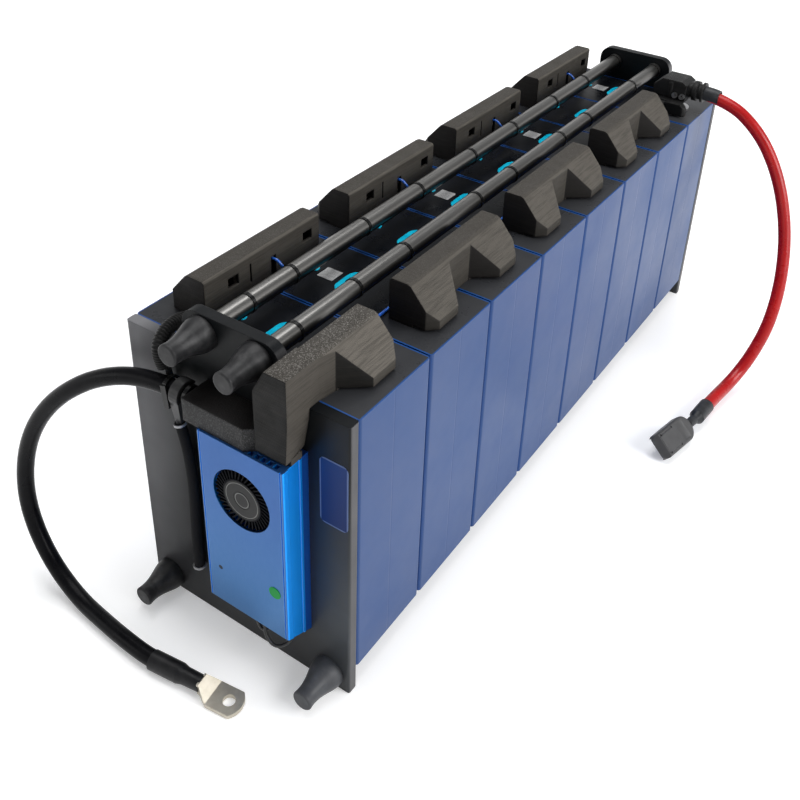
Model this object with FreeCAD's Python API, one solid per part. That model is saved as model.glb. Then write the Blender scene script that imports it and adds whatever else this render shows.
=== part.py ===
"""Eight-cell lithium iron phosphate battery pack with a fan-cooled management unit.

Millimetres, +Z up. The cells stand in a row along Y, with the management unit on the
-Y end plate. X = 0 is the middle of the stack, Y = 0 is halfway between the tips of the
front caps and the rear ends of the rods, and Z = 0 is the surface that it stands on.
"""
import FreeCAD, Part
import math
import os

V = FreeCAD.Vector
X_AXIS, Y_AXIS, Z_AXIS = V(1, 0, 0), V(0, 1, 0), V(0, 0, 1)
FLUSH = 0.3  # running gap between pieces that only pass each other
BITE = 1.0  # how far a cutting tool runs past the face that it cuts

# Cells
CELL_COUNT = 8
CELL_WIDTH = 173.7
CELL_THICK = 71.7
CELL_HEIGHT = 204.8
CELL_CORNER = 2.5
SPACER_THICK = 1.3
SPACER_INSET = 3.0
LIP_WIDTH = 1.0  # wrap folded over the top edge
TOP_PLATE_THICK = 0.7
TERMINAL_SIDE = 25.35  # from the cell's narrow side
TERMINAL_RADIUS = 11.5
TERMINAL_RISE = 2.2
STUD_RADIUS = 3.0
STUD_TOP = 14.0
VENT_LENGTH = 28.0
VENT_WIDTH = 16.0
VENT_RISE = 0.5
PLUG_RADIUS = 3.0
PLUG_X = 31.0
LABEL_SIDE = 12.5
LABEL_X = 18.5
LABEL_THICK = 0.25

# Busbars and their nuts
BUSBAR_THICK = 2.0
BUSBAR_PAD = 20.0
BUSBAR_LINK_IN = 15.1  # inward from the terminals
BUSBAR_LINK_WIDTH = 11.0
NUT_FLANGE_RADIUS = 6.5
NUT_FLANGE_THICK = 1.2
NUT_ACROSS = 10.0
NUT_HEIGHT = 6.0

# End plates
PLATE_THICK = 8.0
PLATE_DROP = 18.8  # how far the plates reach below the cells
PLATE_EDGE = 1.6
TAB_CLEAR = 6.0  # from the covers
TAB_RISE = 30.6  # top of the tab above the cells
TAB_CORNER = 11.0
TAB_ROOT = 6.0

# Tie rods with their sleeves, nuts and caps
ROD_RADIUS = 4.0
ROD_HOLE_CLEARANCE = 0.25
ROD_TOP_X = 21.0
ROD_TOP_RISE = 17.7
ROD_LOW_X = 70.5
ROD_LOW_DROP = 7.0
SLEEVE_RADIUS = 6.5
SLEEVE_CLEARANCE = 0.3
COLLAR_RADIUS = 7.2
COLLAR_LENGTH = 4.5
WASHER_RADIUS = 8.0
WASHER_THICK = 1.6
REAR_WASHER_RADIUS = 11.7
REAR_WASHER_THICK = 2.0
ROD_NUT_ACROSS = 13.0
ROD_NUT_HEIGHT = 6.5
ROD_OUT_FRONT = 18.0  # rod length outside the front plate
ROD_OUT_REAR = 10.5
CAP_LENGTH = 28.5
CAP_FLANGE_RADIUS = 11.5
CAP_FLANGE_THICK = 2.0
CAP_SHOULDER_AT = 7.0
CAP_SHOULDER_RADIUS = 10.7
CAP_NECK_AT = 12.0
CAP_NECK_RADIUS = 9.0
CAP_WAIST_AT = 17.0
CAP_RADIUS = 7.6
CAP_TIP_RADIUS = 7.2
CAP_TIP_ROUND = 1.4
TIE_THICK = 0.5
TIE_WIDTH = 2.4
TIES_LEFT = (31, 72, 150, 218, 295, 364, 440, 506)  # from the first cell's front face
TIES_RIGHT = (25, 83, 139, 232, 286, 371, 423, 523)

# Terminal covers, heights above the cell tops
COVER_SIDE = 9.85  # outer edge from the cell's narrow side
COVER_DEPTH = 34.0
COVER_TOP_DEPTH = 15.0
COVER_RISE = 30.5
COVER_TOE = 8.2
COVER_WALL = 2.2
COVER_END = 19.0  # past the outer terminal
COVER_CORNER = 6.5
COVER_EDGE = 1.4
NOTCH_DEPTH = 16.7
NOTCH_IN = 23.0  # notch edge from the terminal, at the back
NOTCH_OUT = 9.5  # and at the outer edge
TOE_GAP = 1.8
WINDOW_WIDTH = 9.5
WINDOW_LOW = 15.0
WINDOW_HIGH = 22.5
WINDOW_SHIFT = 6.5
SLIT_WIDTH = 1.4
SLIT_AT = -14.0
SLIT_LOW = 10.0
SLIT_HIGH = 24.0
WIRE_SLOT_WIDTH = 5.0
WIRE_SLOT_AT = 8.0
WIRE_SLOT_HIGH = 19.5

# Management unit on the front plate, heights above the cell bottoms
BMS_MID_X = 24.2
BMS_WIDTH = 65.6
BMS_DEPTH = 23.0
BMS_LOW_FRONT = 35.0
BMS_LOW_BACK = 23.5
BMS_DROP = 32.3  # from the cell tops down to the unit's top
BMS_BASE_THICK = 6.2
BMS_BASE_INSET = 0.5
BMS_WALL = 2.5
BMS_SKIN = 1.6
BMS_EDGE = 1.4
BMS_GROOVE_AT = 2.0  # from each side of the front face
BMS_GROOVE_WIDTH = 0.7
BMS_GROOVE_DEPTH = 0.9
BMS_SIDE_DISH = 0.5
FIN_DEPTH = 3.5
FIN_PITCH = 4.7
FIN_SLOT = 3.1
FIN_WEB = 1.5
FIN_SLOT_COUNT = 12
BOARD_THICK = 1.6
FAN_DROP = 38.5
FAN_HOLE_RADIUS = 21.9
FAN_FRAME_WALL = 1.6
FAN_FRAME_FLOOR = 1.5
ROTOR_RADIUS = 21.0
ROTOR_HUB_RADIUS = 14.8
ROTOR_HUB_WALL = 1.2
ROTOR_FACE_THICK = 1.4
ROTOR_LINE = 0.5
ROTOR_LINE_DEPTH = 0.35
ROTOR_OUTER_LINE = 12.95
ROTOR_INNER_LINE = 6.15
ROTOR_BLADE_SET = 0.4
ROTOR_FACE_SET = 0.5
ROTOR_BACK_GAP = 1.2
ROTOR_RING_THICK = 1.0
ROTOR_BLADE_THICK = 0.9
ROTOR_BLADE_COUNT = 40
ROTOR_BLADE_LEAN = 24.0
SHAFT_RADIUS = 1.5
SHAFT_CLEARANCE = 0.05
SHAFT_SET = 5.0  # shaft's tip behind the unit's face
BOSS_RADIUS = 3.4
STATOR_RADIUS = 11.0
STATOR_BORE = 4.2
STATOR_LENGTH = 5.5

# Cover over the leads on top of the management unit, and the negative cover's leg
LEAD_LEFT = -20.0
LEAD_TALL = 16.5
LEAD_FRONT = 21.5  # from the plate face
LEAD_WALL = 2.4
LEAD_CLIP_X = 7.5
LEAD_CLIP_Y = 6.0
LEG_CLEAR = 1.9  # from the cap's flange
LEG_STEP = 1.8  # from the notch's back
LEG_DRAFT = 1.7  # narrower at the foot
LEG_FRONT = 19.5
LEG_SHOULDER = 16.3  # below the cover's top
LEG_FOOT_GAP = 4.0  # above the unit
LEG_FACET_RISE = 22.0
LEG_FACET_DEPTH = 2.6
LEG_FACET_AT = 3.5  # behind the leg's face
LEG_STOP_AT = 4.5
LEG_STOP_LENGTH = 9.5
LEG_STOP_WIDTH = 5.0

# Positive clamp, heights above the cell tops
CLAMP_BACK = 21.5  # inward from the terminal
CLAMP_FRONT = 10.5  # outward, and the collar past it
CLAMP_REACH = 25.1
CLAMP_BASE_HIGH = 13.0
CLAMP_RISE = 30.5
CLAMP_HALF = 12.0
CLAMP_SHIFT = 0.85  # in front of the last cell's middle
CLAMP_CABLE_RISE = 21.5
CLAMP_NECK_RADIUS = 7.4
CLAMP_RIB_RADIUS = 9.4
CLAMP_SCREW_RADIUS = 2.6

# Cables
CABLE_RADIUS = 5.75
SHRINK_WALL = 1.0
LUG_THICK = 3.2
LUG_WIDTH = 19.0
LUG_HOLE_RADIUS = 4.2
NEG_BARREL_RADIUS = 4.75
POS_BARREL_RADIUS = 3.2
LUG_OFF_FLOOR = 0.4
NEG_SHRINK_BACK = 20.0
NEG_BARREL_END = -20.0
NEG_PALM_START = -12.3
POS_SHRINK_BACK = 21.0
CLAMP_SLEEVE = 14.5
BOOT_START = 14.5  # from the cable's end to the hood
BOOT_LENGTH = 46.5
BOOT_HALF = 11.3
BOOT_DEEP = 4.4
BOOT_SHOULDER = 10.6
BOOT_HIGH = 5.0
BOOT_PAD_AT = 24.0
BOOT_PAD_END = 42.0
BOOT_HOLE_AT = 28.0
BOOT_INSIDE_HALF = 9.8
BOOT_BEVEL_DROP = 5.5

# Harness, wires and stickers
HARNESS_RADIUS = 3.5
SLEEVE_RING_RADIUS = 4.3
STRAND_RADIUS = 2.3
CONDUIT_RADIUS = 4.6
BAND_WIDTH = 7.0
BAND_THICK = 2.8
BAND_GAP = 0.3  # off the cable
BAND_X = -29.2
BAND_START = -23.0  # below the cable's front, in degrees
BAND_TURN = 170.0
TIED_OUT = 11.3  # cable's middle between the ties, from the plate
TIED_RISE = 9.9  # and above the unit
TIE_LEFT_X = -40.4
TIE_RIGHT_X = -24.3
WIRE_RADIUS = 1.0
TAIL_RADIUS = 1.1
STICKER_THICK = 0.3
STICKER_WIDTH = 20.4
STICKER_TALL = 50.5
STICKER_EDGE = 1.45  # from the plate's side
STICKER_DROP = 29.8  # below the cell tops
STICKER_CORNER = 4.0
DOT_RADIUS = 4.5
DOT_IN = 9.5  # from the unit's side
DOT_RISE = 36.8

# Worked out from the sizes above
PITCH = CELL_THICK + SPACER_THICK
STACK = CELL_COUNT * CELL_THICK + (CELL_COUNT - 1) * SPACER_THICK
FRONT = -(STACK + ROD_OUT_REAR - CAP_LENGTH) / 2
REAR = FRONT + STACK
CELL_LOW = PLATE_DROP
TOP = CELL_LOW + CELL_HEIGHT
PLATE_FACE = FRONT - PLATE_THICK
REAR_FACE = REAR + PLATE_THICK
HALF_WIDTH = CELL_WIDTH / 2
ROD_TOP_Z = TOP + ROD_TOP_RISE
ROD_LOW_Z = CELL_LOW - ROD_LOW_DROP
ROD_TOP_PLACES = [(-ROD_TOP_X, ROD_TOP_Z), (ROD_TOP_X, ROD_TOP_Z)]
ROD_LOW_PLACES = [(-ROD_LOW_X, ROD_LOW_Z), (ROD_LOW_X, ROD_LOW_Z)]
ROD_PLACES = ROD_TOP_PLACES + ROD_LOW_PLACES
TERMINAL_X = HALF_WIDTH - TERMINAL_SIDE
BUSBAR_IN = TERMINAL_X - BUSBAR_LINK_IN
BMS_TOP = CELL_HEIGHT - BMS_DROP
COVER_OUT = HALF_WIDTH - COVER_SIDE
COVER_IN = COVER_OUT - COVER_DEPTH
COVER_TOP_OUT = COVER_IN + COVER_TOP_DEPTH
TAB_WIDTH = 2 * (COVER_IN - TAB_CLEAR)
NOTCH_BACK = COVER_OUT - NOTCH_DEPTH
LEG_LEFT = ROD_TOP_X + CAP_FLANGE_RADIUS + LEG_CLEAR
LEG_RIGHT = NOTCH_BACK - LEG_STEP
LEAD_HIGH = BMS_TOP + LEAD_TALL
CLAMP_IN = TERMINAL_X - CLAMP_BACK
CLAMP_MID = TERMINAL_X + CLAMP_FRONT
CLAMP_OUT = TERMINAL_X + CLAMP_REACH
BUSBAR_LOW = TOP + TERMINAL_RISE
BUSBAR_HIGH = BUSBAR_LOW + BUSBAR_THICK
BMS_FACE = PLATE_FACE - BMS_DEPTH
BMS_BASE_FACE = PLATE_FACE - BMS_BASE_THICK
BMS_LEFT = BMS_MID_X - BMS_WIDTH / 2
BMS_RIGHT = BMS_MID_X + BMS_WIDTH / 2
FAN_Z = CELL_LOW + BMS_TOP - FAN_DROP
WEB_BACK = BMS_FACE + BMS_SKIN + FIN_DEPTH + FIN_WEB
FAN_FLOOR = BMS_BASE_FACE - BOARD_THICK - FAN_FRAME_FLOOR
CLAMP_Y = FRONT + STACK - CELL_THICK / 2 - CLAMP_SHIFT
CLAMP_Z = TOP + CLAMP_CABLE_RISE


def cell_y(number):
    """Middle of a cell along Y, counted from 1 at the front."""
    return FRONT + CELL_THICK / 2 + (number - 1) * PITCH


def spot(x, y, z):
    """A point given from the front cell's face (y) and from the cell bottoms (z)."""
    return V(x, FRONT + y, CELL_LOW + z)


def past_clamp(x, back, z):
    """A point of the red cable, from the clamp's middle along the row."""
    return V(x, CLAMP_Y + back, CELL_LOW + z)


def box(x0, x1, y0, y1, z0, z1):
    return Part.makeBox(x1 - x0, y1 - y0, z1 - z0, V(x0, y0, z0))


def cylinder_y(x, z, radius, y0, y1):
    return Part.makeCylinder(radius, y1 - y0, V(x, y0, z), Y_AXIS)


def cylinder_z(x, y, radius, z0, z1):
    return Part.makeCylinder(radius, z1 - z0, V(x, y, z0), Z_AXIS)


def prism(points, along):
    """Solid of a flat closed outline, pushed along a vector."""
    return Part.Face(Part.makePolygon(points + points[:1])).extrude(along)


def prism_xz(outline, y0, y1):
    return prism([V(x, y0, z) for x, z in outline], V(0, y1 - y0, 0))


def prism_yz(outline, x0, x1):
    return prism([V(x0, y, z) for y, z in outline], V(x1 - x0, 0, 0))


def prism_xy(outline, z0, z1):
    return prism([V(x, y, z0) for x, y in outline], V(0, 0, z1 - z0))


def hexagon_y(x, z, across, y0, y1):
    corner = across / math.sqrt(3)
    turns = [math.radians(60 * step) for step in range(6)]
    outline = [(x + corner * math.cos(a), z + corner * math.sin(a)) for a in turns]
    return prism_xz(outline, y0, y1)


def hexagon_z(x, y, across, z0, z1):
    corner = across / math.sqrt(3)
    turns = [math.radians(60 * step) for step in range(6)]
    outline = [(x + corner * math.cos(a), y + corner * math.sin(a)) for a in turns]
    return prism_xy(outline, z0, z1)


def mirror_x(shape):
    return shape.mirror(V(0, 0, 0), X_AXIS)


def mirror_in_stack(shape):
    """The same shape at the other end of the stack."""
    return shape.mirror(V(0, (FRONT + REAR) / 2, 0), Y_AXIS)


def fuse(shapes):
    joined = shapes[0]
    for shape in shapes[1:]:
        joined = joined.fuse(shape)
    return joined.removeSplitter()


def edges_along(shape, axis, keep=lambda edge: True):
    """Straight edges of a shape that run along an axis."""
    found = []
    for edge in shape.Edges:
        if not isinstance(edge.Curve, Part.Line):
            continue
        if abs(abs(edge.Curve.Direction.dot(axis)) - 1) < 1e-6 and keep(edge):
            found.append(edge)
    return found


def save(name, shapes):
    """Write one sub-part; a list of solids stays a group of separate solids."""
    shape = shapes
    if isinstance(shapes, list):
        shape = shapes[0] if len(shapes) == 1 else Part.makeCompound(shapes)
    if not shape.isValid() or not shape.Solids:
        raise ValueError(f"{name} is not a valid solid")
    shape.exportStep(f"parts/{name}.step")


# Cells and what lies on them


def make_cell(number):
    """Film-wrapped case with the wrap's lip round a shallow tray for the top plate."""
    y = cell_y(number)
    half = CELL_THICK / 2
    case = box(-HALF_WIDTH, HALF_WIDTH, y - half, y + half, CELL_LOW, TOP)
    case = case.makeFillet(CELL_CORNER, edges_along(case, Z_AXIS))
    tray = box(
        -HALF_WIDTH + LIP_WIDTH,
        HALF_WIDTH - LIP_WIDTH,
        y - half + LIP_WIDTH,
        y + half - LIP_WIDTH,
        TOP - TOP_PLATE_THICK,
        TOP + BITE,
    )
    return case.cut(tray)


def make_top_plate(number):
    y = cell_y(number)
    half = CELL_THICK / 2 - LIP_WIDTH
    return box(
        -HALF_WIDTH + LIP_WIDTH,
        HALF_WIDTH - LIP_WIDTH,
        y - half,
        y + half,
        TOP - TOP_PLATE_THICK,
        TOP,
    )


def make_terminal(x, y):
    """Round pad with the stud welded to it."""
    pad = cylinder_z(x, y, TERMINAL_RADIUS, TOP, BUSBAR_LOW)
    stud = cylinder_z(x, y, STUD_RADIUS, TOP, TOP + STUD_TOP)
    stud = stud.makeChamfer(0.6, [stud.Edges[0]])
    return fuse([pad, stud])


def make_vent(y):
    """Long round-ended film over the safety vent."""
    reach = (VENT_LENGTH - VENT_WIDTH) / 2
    radius = VENT_WIDTH / 2
    film = fuse([
        box(-radius, radius, y - reach, y + reach, TOP, TOP + VENT_RISE),
        cylinder_z(0, y - reach, radius, TOP, TOP + VENT_RISE),
        cylinder_z(0, y + reach, radius, TOP, TOP + VENT_RISE),
    ])
    return film


def make_label(x, y):
    side = LABEL_SIDE / 2
    return box(x - side, x + side, y - side, y + side, TOP, TOP + LABEL_THICK)


def make_spacer(number):
    """Thin sheet between a cell and the next one."""
    y = cell_y(number) + CELL_THICK / 2
    side = HALF_WIDTH - SPACER_INSET
    return box(-side, side, y, y + SPACER_THICK, CELL_LOW, TOP - SPACER_INSET)


def make_busbar(side, first):
    """Flat bar from one cell's terminal to the next cell's, stepped in past the notch."""
    y0, y1 = cell_y(first), cell_y(first + 1)
    pad = BUSBAR_PAD / 2
    bar = box(BUSBAR_IN, BUSBAR_IN + BUSBAR_LINK_WIDTH, y0, y1, BUSBAR_LOW, BUSBAR_HIGH)
    ends = [
        box(TERMINAL_X - pad, TERMINAL_X + pad, y - pad, y + pad, BUSBAR_LOW, BUSBAR_HIGH)
        for y in (y0, y1)
    ]
    webs = [
        box(BUSBAR_IN, TERMINAL_X, y - pad, y + pad, BUSBAR_LOW, BUSBAR_HIGH)
        for y in (y0, y1)
    ]
    bar = fuse([bar] + ends + webs)
    for y in (y0, y1):
        bar = bar.cut(cylinder_z(TERMINAL_X, y, STUD_RADIUS + 0.2, TOP, BUSBAR_HIGH + BITE))
    return bar if side > 0 else mirror_x(bar)


def make_terminal_nut(x, y):
    flange = cylinder_z(x, y, NUT_FLANGE_RADIUS, BUSBAR_HIGH, BUSBAR_HIGH + NUT_FLANGE_THICK)
    body = hexagon_z(x, y, NUT_ACROSS, BUSBAR_HIGH, BUSBAR_HIGH + NUT_HEIGHT)
    bore = cylinder_z(x, y, STUD_RADIUS + 0.05, BUSBAR_HIGH - BITE, BUSBAR_HIGH + NUT_HEIGHT + BITE)
    return fuse([flange, body]).cut(bore)


# End plates and tie rods


def make_end_plate():
    """Front plate with its feet below the cells and the tab for the two top rods."""
    y0, y1 = PLATE_FACE, FRONT
    sheet = box(-HALF_WIDTH, HALF_WIDTH, y0, y1, 0, TOP)
    sheet = sheet.makeFillet(PLATE_EDGE, edges_along(sheet, Z_AXIS))
    tab = box(-TAB_WIDTH / 2, TAB_WIDTH / 2, y0, y1, TOP - TAB_ROOT, TOP + TAB_RISE)
    tops = edges_along(tab, Y_AXIS, lambda e: e.CenterOfMass.z > TOP)
    tab = tab.makeFillet(TAB_CORNER, tops)
    plate = fuse([sheet, tab])
    roots = edges_along(
        plate,
        Y_AXIS,
        lambda e: abs(e.CenterOfMass.z - TOP) < 0.01
        and abs(abs(e.CenterOfMass.x) - TAB_WIDTH / 2) < 0.01,
    )
    plate = plate.makeFillet(TAB_ROOT, roots)
    for x, z in ROD_PLACES:
        hole = cylinder_y(x, z, ROD_RADIUS + ROD_HOLE_CLEARANCE, y0 - BITE, y1 + BITE)
        plate = plate.cut(hole)
    return plate


def make_rod(x, z):
    rod = cylinder_y(x, z, ROD_RADIUS, PLATE_FACE - ROD_OUT_FRONT, REAR_FACE + ROD_OUT_REAR)
    ends = [e for e in rod.Edges if isinstance(e.Curve, Part.Circle)]
    return rod.makeChamfer(0.7, ends)


def make_sleeve(x, z):
    """Plain sleeve between the plates, bored to pass over its rod."""
    sleeve = cylinder_y(x, z, SLEEVE_RADIUS, FRONT, REAR)
    return sleeve.cut(cylinder_y(x, z, ROD_RADIUS + SLEEVE_CLEARANCE, FRONT - BITE, REAR + BITE))


def make_collared_sleeve(x, z):
    """Sleeve with a thicker collar against each plate."""
    collars = [
        cylinder_y(x, z, COLLAR_RADIUS, y, y + COLLAR_LENGTH) for y in (FRONT, REAR - COLLAR_LENGTH)
    ]
    collars = [collar.cut(cylinder_y(x, z, ROD_RADIUS + 1, FRONT, REAR)) for collar in collars]
    return fuse([make_sleeve(x, z)] + collars)


def make_washer(x, z, radius, thick):
    y1 = PLATE_FACE
    ring = cylinder_y(x, z, radius, y1 - thick, y1)
    return ring.cut(cylinder_y(x, z, ROD_RADIUS + 0.2, y1 - thick - BITE, y1 + BITE))


def make_rod_nut(x, z, washer_thick):
    y1 = PLATE_FACE - washer_thick
    nut = hexagon_y(x, z, ROD_NUT_ACROSS, y1 - ROD_NUT_HEIGHT, y1)
    nut = nut.common(cylinder_y(x, z, ROD_NUT_ACROSS / math.sqrt(3) - 0.2, y1 - ROD_NUT_HEIGHT, y1))
    return nut.cut(cylinder_y(x, z, ROD_RADIUS + 0.05, y1 - ROD_NUT_HEIGHT - BITE, y1 + BITE))


def make_cap(x, z):
    """Rubber cap over a rod end: a wide mouth on the plate and a slim round tip."""
    y = PLATE_FACE

    def at(out, radius):
        return V(x + radius, y - out, z)

    nut_end = WASHER_THICK + ROD_NUT_HEIGHT + 0.5
    bore_end = ROD_OUT_FRONT + 1.5
    nut_radius = ROD_NUT_ACROSS / math.sqrt(3) + FLUSH
    seat_end = WASHER_THICK + 0.4
    side = Part.BSplineCurve()
    side.interpolate([
        at(CAP_FLANGE_THICK, CAP_FLANGE_RADIUS),
        at(CAP_SHOULDER_AT, CAP_SHOULDER_RADIUS),
        at(CAP_NECK_AT, CAP_NECK_RADIUS),
        at(CAP_WAIST_AT, CAP_RADIUS),
        at(CAP_LENGTH - CAP_TIP_ROUND, CAP_TIP_RADIUS),
    ])
    tip_mid = at(
        CAP_LENGTH - CAP_TIP_ROUND * (1 - math.sqrt(0.5)),
        CAP_TIP_RADIUS - CAP_TIP_ROUND * (1 - math.sqrt(0.5)),
    )
    tip_start = at(CAP_LENGTH - CAP_TIP_ROUND, CAP_TIP_RADIUS)
    tip_end = at(CAP_LENGTH, CAP_TIP_RADIUS - CAP_TIP_ROUND)
    inside = [
        tip_end,
        at(CAP_LENGTH, 0),
        at(bore_end, 0),
        at(bore_end, ROD_RADIUS + FLUSH),
        at(nut_end, ROD_RADIUS + FLUSH),
        at(nut_end, nut_radius),
        at(seat_end, nut_radius),
        at(seat_end, WASHER_RADIUS + 0.4),
        at(0, WASHER_RADIUS + 0.4),
        at(0, CAP_FLANGE_RADIUS),
        at(CAP_FLANGE_THICK, CAP_FLANGE_RADIUS),
    ]
    edges = [side, Part.Arc(tip_start, tip_mid, tip_end)]
    edges += [Part.LineSegment(a, b) for a, b in zip(inside, inside[1:])]
    face = Part.Face(Part.Wire([edge.toShape() for edge in edges]))
    return face.revolve(V(x, y, z), Y_AXIS, 360)


def make_rod_tie(x, y):
    """Cable tie drawn tight round a rod sleeve."""
    ring = cylinder_y(x, ROD_TOP_Z, SLEEVE_RADIUS + TIE_THICK, y - TIE_WIDTH / 2, y + TIE_WIDTH / 2)
    return ring.cut(cylinder_y(x, ROD_TOP_Z, SLEEVE_RADIUS, y - TIE_WIDTH, y + TIE_WIDTH))


# Terminal covers


def cover_profile(inset, low):
    """Cross-section of a cover on the +X side, set in evenly by a wall."""
    run, drop = COVER_OUT - COVER_TOP_OUT, COVER_RISE - COVER_TOE
    slope = math.hypot(run, drop)
    top = TOP + COVER_RISE - inset
    outer = COVER_OUT - inset
    start_x, start_z = COVER_TOP_OUT - inset * drop / slope, TOP + COVER_RISE - inset * run / slope
    x_at_top = start_x + (start_z - top) * run / drop
    z_at_out = start_z - (outer - start_x) * drop / run
    edge = COVER_EDGE if inset == 0 else 0.4
    return [
        (COVER_IN + inset, low),
        (COVER_IN + inset, top - edge),
        (COVER_IN + inset + edge, top),
        (x_at_top - edge, top),
        (x_at_top + edge * run / slope, top - edge * drop / slope),
        (outer, z_at_out),
        (outer, low),
    ]


def foot_outline(terminal, facing, inset):
    """Plan points of a foot from the notch to the cover's end; facing is +1 or -1 in Y."""
    run, rise = COVER_OUT - NOTCH_BACK, NOTCH_IN - NOTCH_OUT
    slide = inset * (math.hypot(run, rise) - rise) / run
    end = terminal + facing * (COVER_END - inset)
    outer = COVER_OUT - inset
    return [
        (NOTCH_BACK - inset, terminal - facing * (NOTCH_IN - slide)),
        (outer, terminal - facing * (NOTCH_OUT - slide)),
        (outer, end - facing * COVER_CORNER),
        (outer - COVER_CORNER, end),
    ]


def cover_shell(plan, plan_inner):
    """Hollow cover open underneath, from its outer and inner plan outlines."""
    low = TOP - BITE
    y_low = min(y for _, y in plan) - BITE
    y_high = max(y for _, y in plan) + BITE
    outer = prism_xz(cover_profile(0, TOP), y_low, y_high)
    outer = outer.common(prism_xy(plan, low, TOP + COVER_RISE + BITE))
    inner = prism_xz(cover_profile(COVER_WALL, low), y_low, y_high)
    inner = inner.common(prism_xy(plan_inner, low - BITE, TOP + COVER_RISE + BITE))
    shell = outer.cut(inner)
    relief = box(NOTCH_BACK + 0.6, COVER_OUT + BITE, y_low, y_high, low, TOP + TOE_GAP)
    return shell.cut(relief)


def wall_cut(y, width, low, high):
    """Opening through the inner wall of a cover."""
    return box(
        COVER_IN - BITE, COVER_IN + COVER_WALL + BITE, y - width / 2, y + width / 2, TOP + low, TOP + high
    )


def make_pair_cover(side, first):
    """Cover over two joined terminals: a spine, two sloping feet and a notch between."""
    y0, y1 = cell_y(first), cell_y(first + 1)
    plans = []
    for inset in (0, COVER_WALL):
        plan = [(COVER_IN + inset, y0 - COVER_END + inset)]
        plan += foot_outline(y0, -1, inset)[::-1]
        plan += foot_outline(y1, 1, inset)
        plan += [(COVER_IN + inset, y1 + COVER_END - inset)]
        plans.append(plan)
    shell = cover_shell(*plans)
    middle = (y0 + y1) / 2
    openings = [
        wall_cut(y0 + WINDOW_SHIFT, WINDOW_WIDTH, WINDOW_LOW, WINDOW_HIGH),
        wall_cut(y1 + WINDOW_SHIFT, WINDOW_WIDTH, WINDOW_LOW, WINDOW_HIGH),
        wall_cut(middle + SLIT_AT, SLIT_WIDTH, SLIT_LOW, SLIT_HIGH),
        wall_cut(middle + WIRE_SLOT_AT, WIRE_SLOT_WIDTH, -BITE, WIRE_SLOT_HIGH),
    ]
    for opening in openings:
        shell = shell.cut(opening)
    return shell if side > 0 else mirror_x(shell)


def outside(a, b, c):
    """Block on the outer, +X side of the plane through three points."""
    normal = (b - a).cross(c - a).normalize()
    normal = normal if normal.x > 0 else -normal
    middle = (a + b + c) / 3
    corners = [middle + (point - middle) * 5 for point in (a, b, c)]
    return prism(corners, normal * 20)


def make_negative_leg(face, plate_front, leg_low):
    """Block before the plate, drafted below the plate's top, with a facet and a stop at its foot."""
    top = TOP + COVER_RISE
    foot = LEG_RIGHT - LEG_DRAFT
    outline = [
        (LEG_LEFT, leg_low),
        (LEG_LEFT, top - LEG_SHOULDER),
        (COVER_IN, top),
        (LEG_RIGHT, top),
        (LEG_RIGHT, TOP),
        (foot, leg_low),
    ]
    leg = prism_xz(outline, face, plate_front)
    lean = LEG_DRAFT / (TOP - leg_low)
    high = V(foot + lean * LEG_FACET_RISE, plate_front, leg_low + LEG_FACET_RISE)
    low = V(foot, face + LEG_FACET_AT, leg_low)
    deep = V(foot - LEG_FACET_DEPTH, plate_front, leg_low)
    leg = leg.cut(outside(high, low, deep))
    y = face + LEG_STOP_AT
    stop_low = CELL_LOW + BMS_TOP + FLUSH
    stop = box(foot - LEG_STOP_WIDTH, foot, y, y + LEG_STOP_LENGTH, stop_low, leg_low + BITE)
    return fuse([leg, stop])


def make_negative_cover():
    """Cover of the negative terminal, with a leg over the plate down to the unit."""
    y = cell_y(1)
    face = PLATE_FACE - LEG_FRONT
    plate_front = PLATE_FACE - FLUSH
    leg_low = CELL_LOW + BMS_TOP + LEG_FOOT_GAP
    plans = []
    for inset in (0, COVER_WALL):
        plan = [(COVER_IN + inset, FRONT + inset), (LEG_RIGHT - inset, FRONT + inset)]
        plan += foot_outline(y, 1, inset)
        plan += [(COVER_IN + inset, y + COVER_END - inset)]
        plans.append(plan)
    over_cell = cover_shell(*plans)
    top = TOP + COVER_RISE
    wall = COVER_WALL
    bridge = box(COVER_IN, LEG_RIGHT, plate_front, FRONT, TOP + FLUSH, top)
    cover = fuse([make_negative_leg(face, plate_front, leg_low), bridge, over_cell])
    duct_outline = [
        (face + wall, leg_low - 2 * LEG_FOOT_GAP),
        (face + wall, top - wall),
        (FRONT + wall + BITE, top - wall),
        (FRONT + wall + BITE, BUSBAR_HIGH),
        (plate_front - wall, BUSBAR_HIGH),
        (plate_front - wall, leg_low - 2 * LEG_FOOT_GAP),
    ]
    duct_right = LEG_RIGHT - LEG_DRAFT - max(LEG_FACET_DEPTH + wall, LEG_STOP_WIDTH)
    cover = cover.cut(prism_yz(duct_outline, COVER_IN + wall, duct_right))
    return cover.cut(wall_cut(y + WINDOW_SHIFT, WINDOW_WIDTH, WINDOW_LOW, WINDOW_HIGH))


def make_lead_cover():
    """Box over the leads between the negative cover's leg and the cable's entry."""
    right = LEG_LEFT
    low, high = CELL_LOW + BMS_TOP, CELL_LOW + LEAD_HIGH
    front, back = PLATE_FACE - LEAD_FRONT, PLATE_FACE
    outer = [
        (LEAD_LEFT, back),
        (LEAD_LEFT, front),
        (right - LEAD_CLIP_X, front),
        (right, front + LEAD_CLIP_Y),
        (right, back),
    ]
    shell = prism_xy(outer, low, high)
    hollow = box(
        LEAD_LEFT + LEAD_WALL + 3,
        right - LEAD_CLIP_X,
        front + LEAD_WALL,
        back - LEAD_WALL,
        low - BITE,
        high - LEAD_WALL,
    )
    return shell.cut(hollow)


# Management unit


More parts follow.
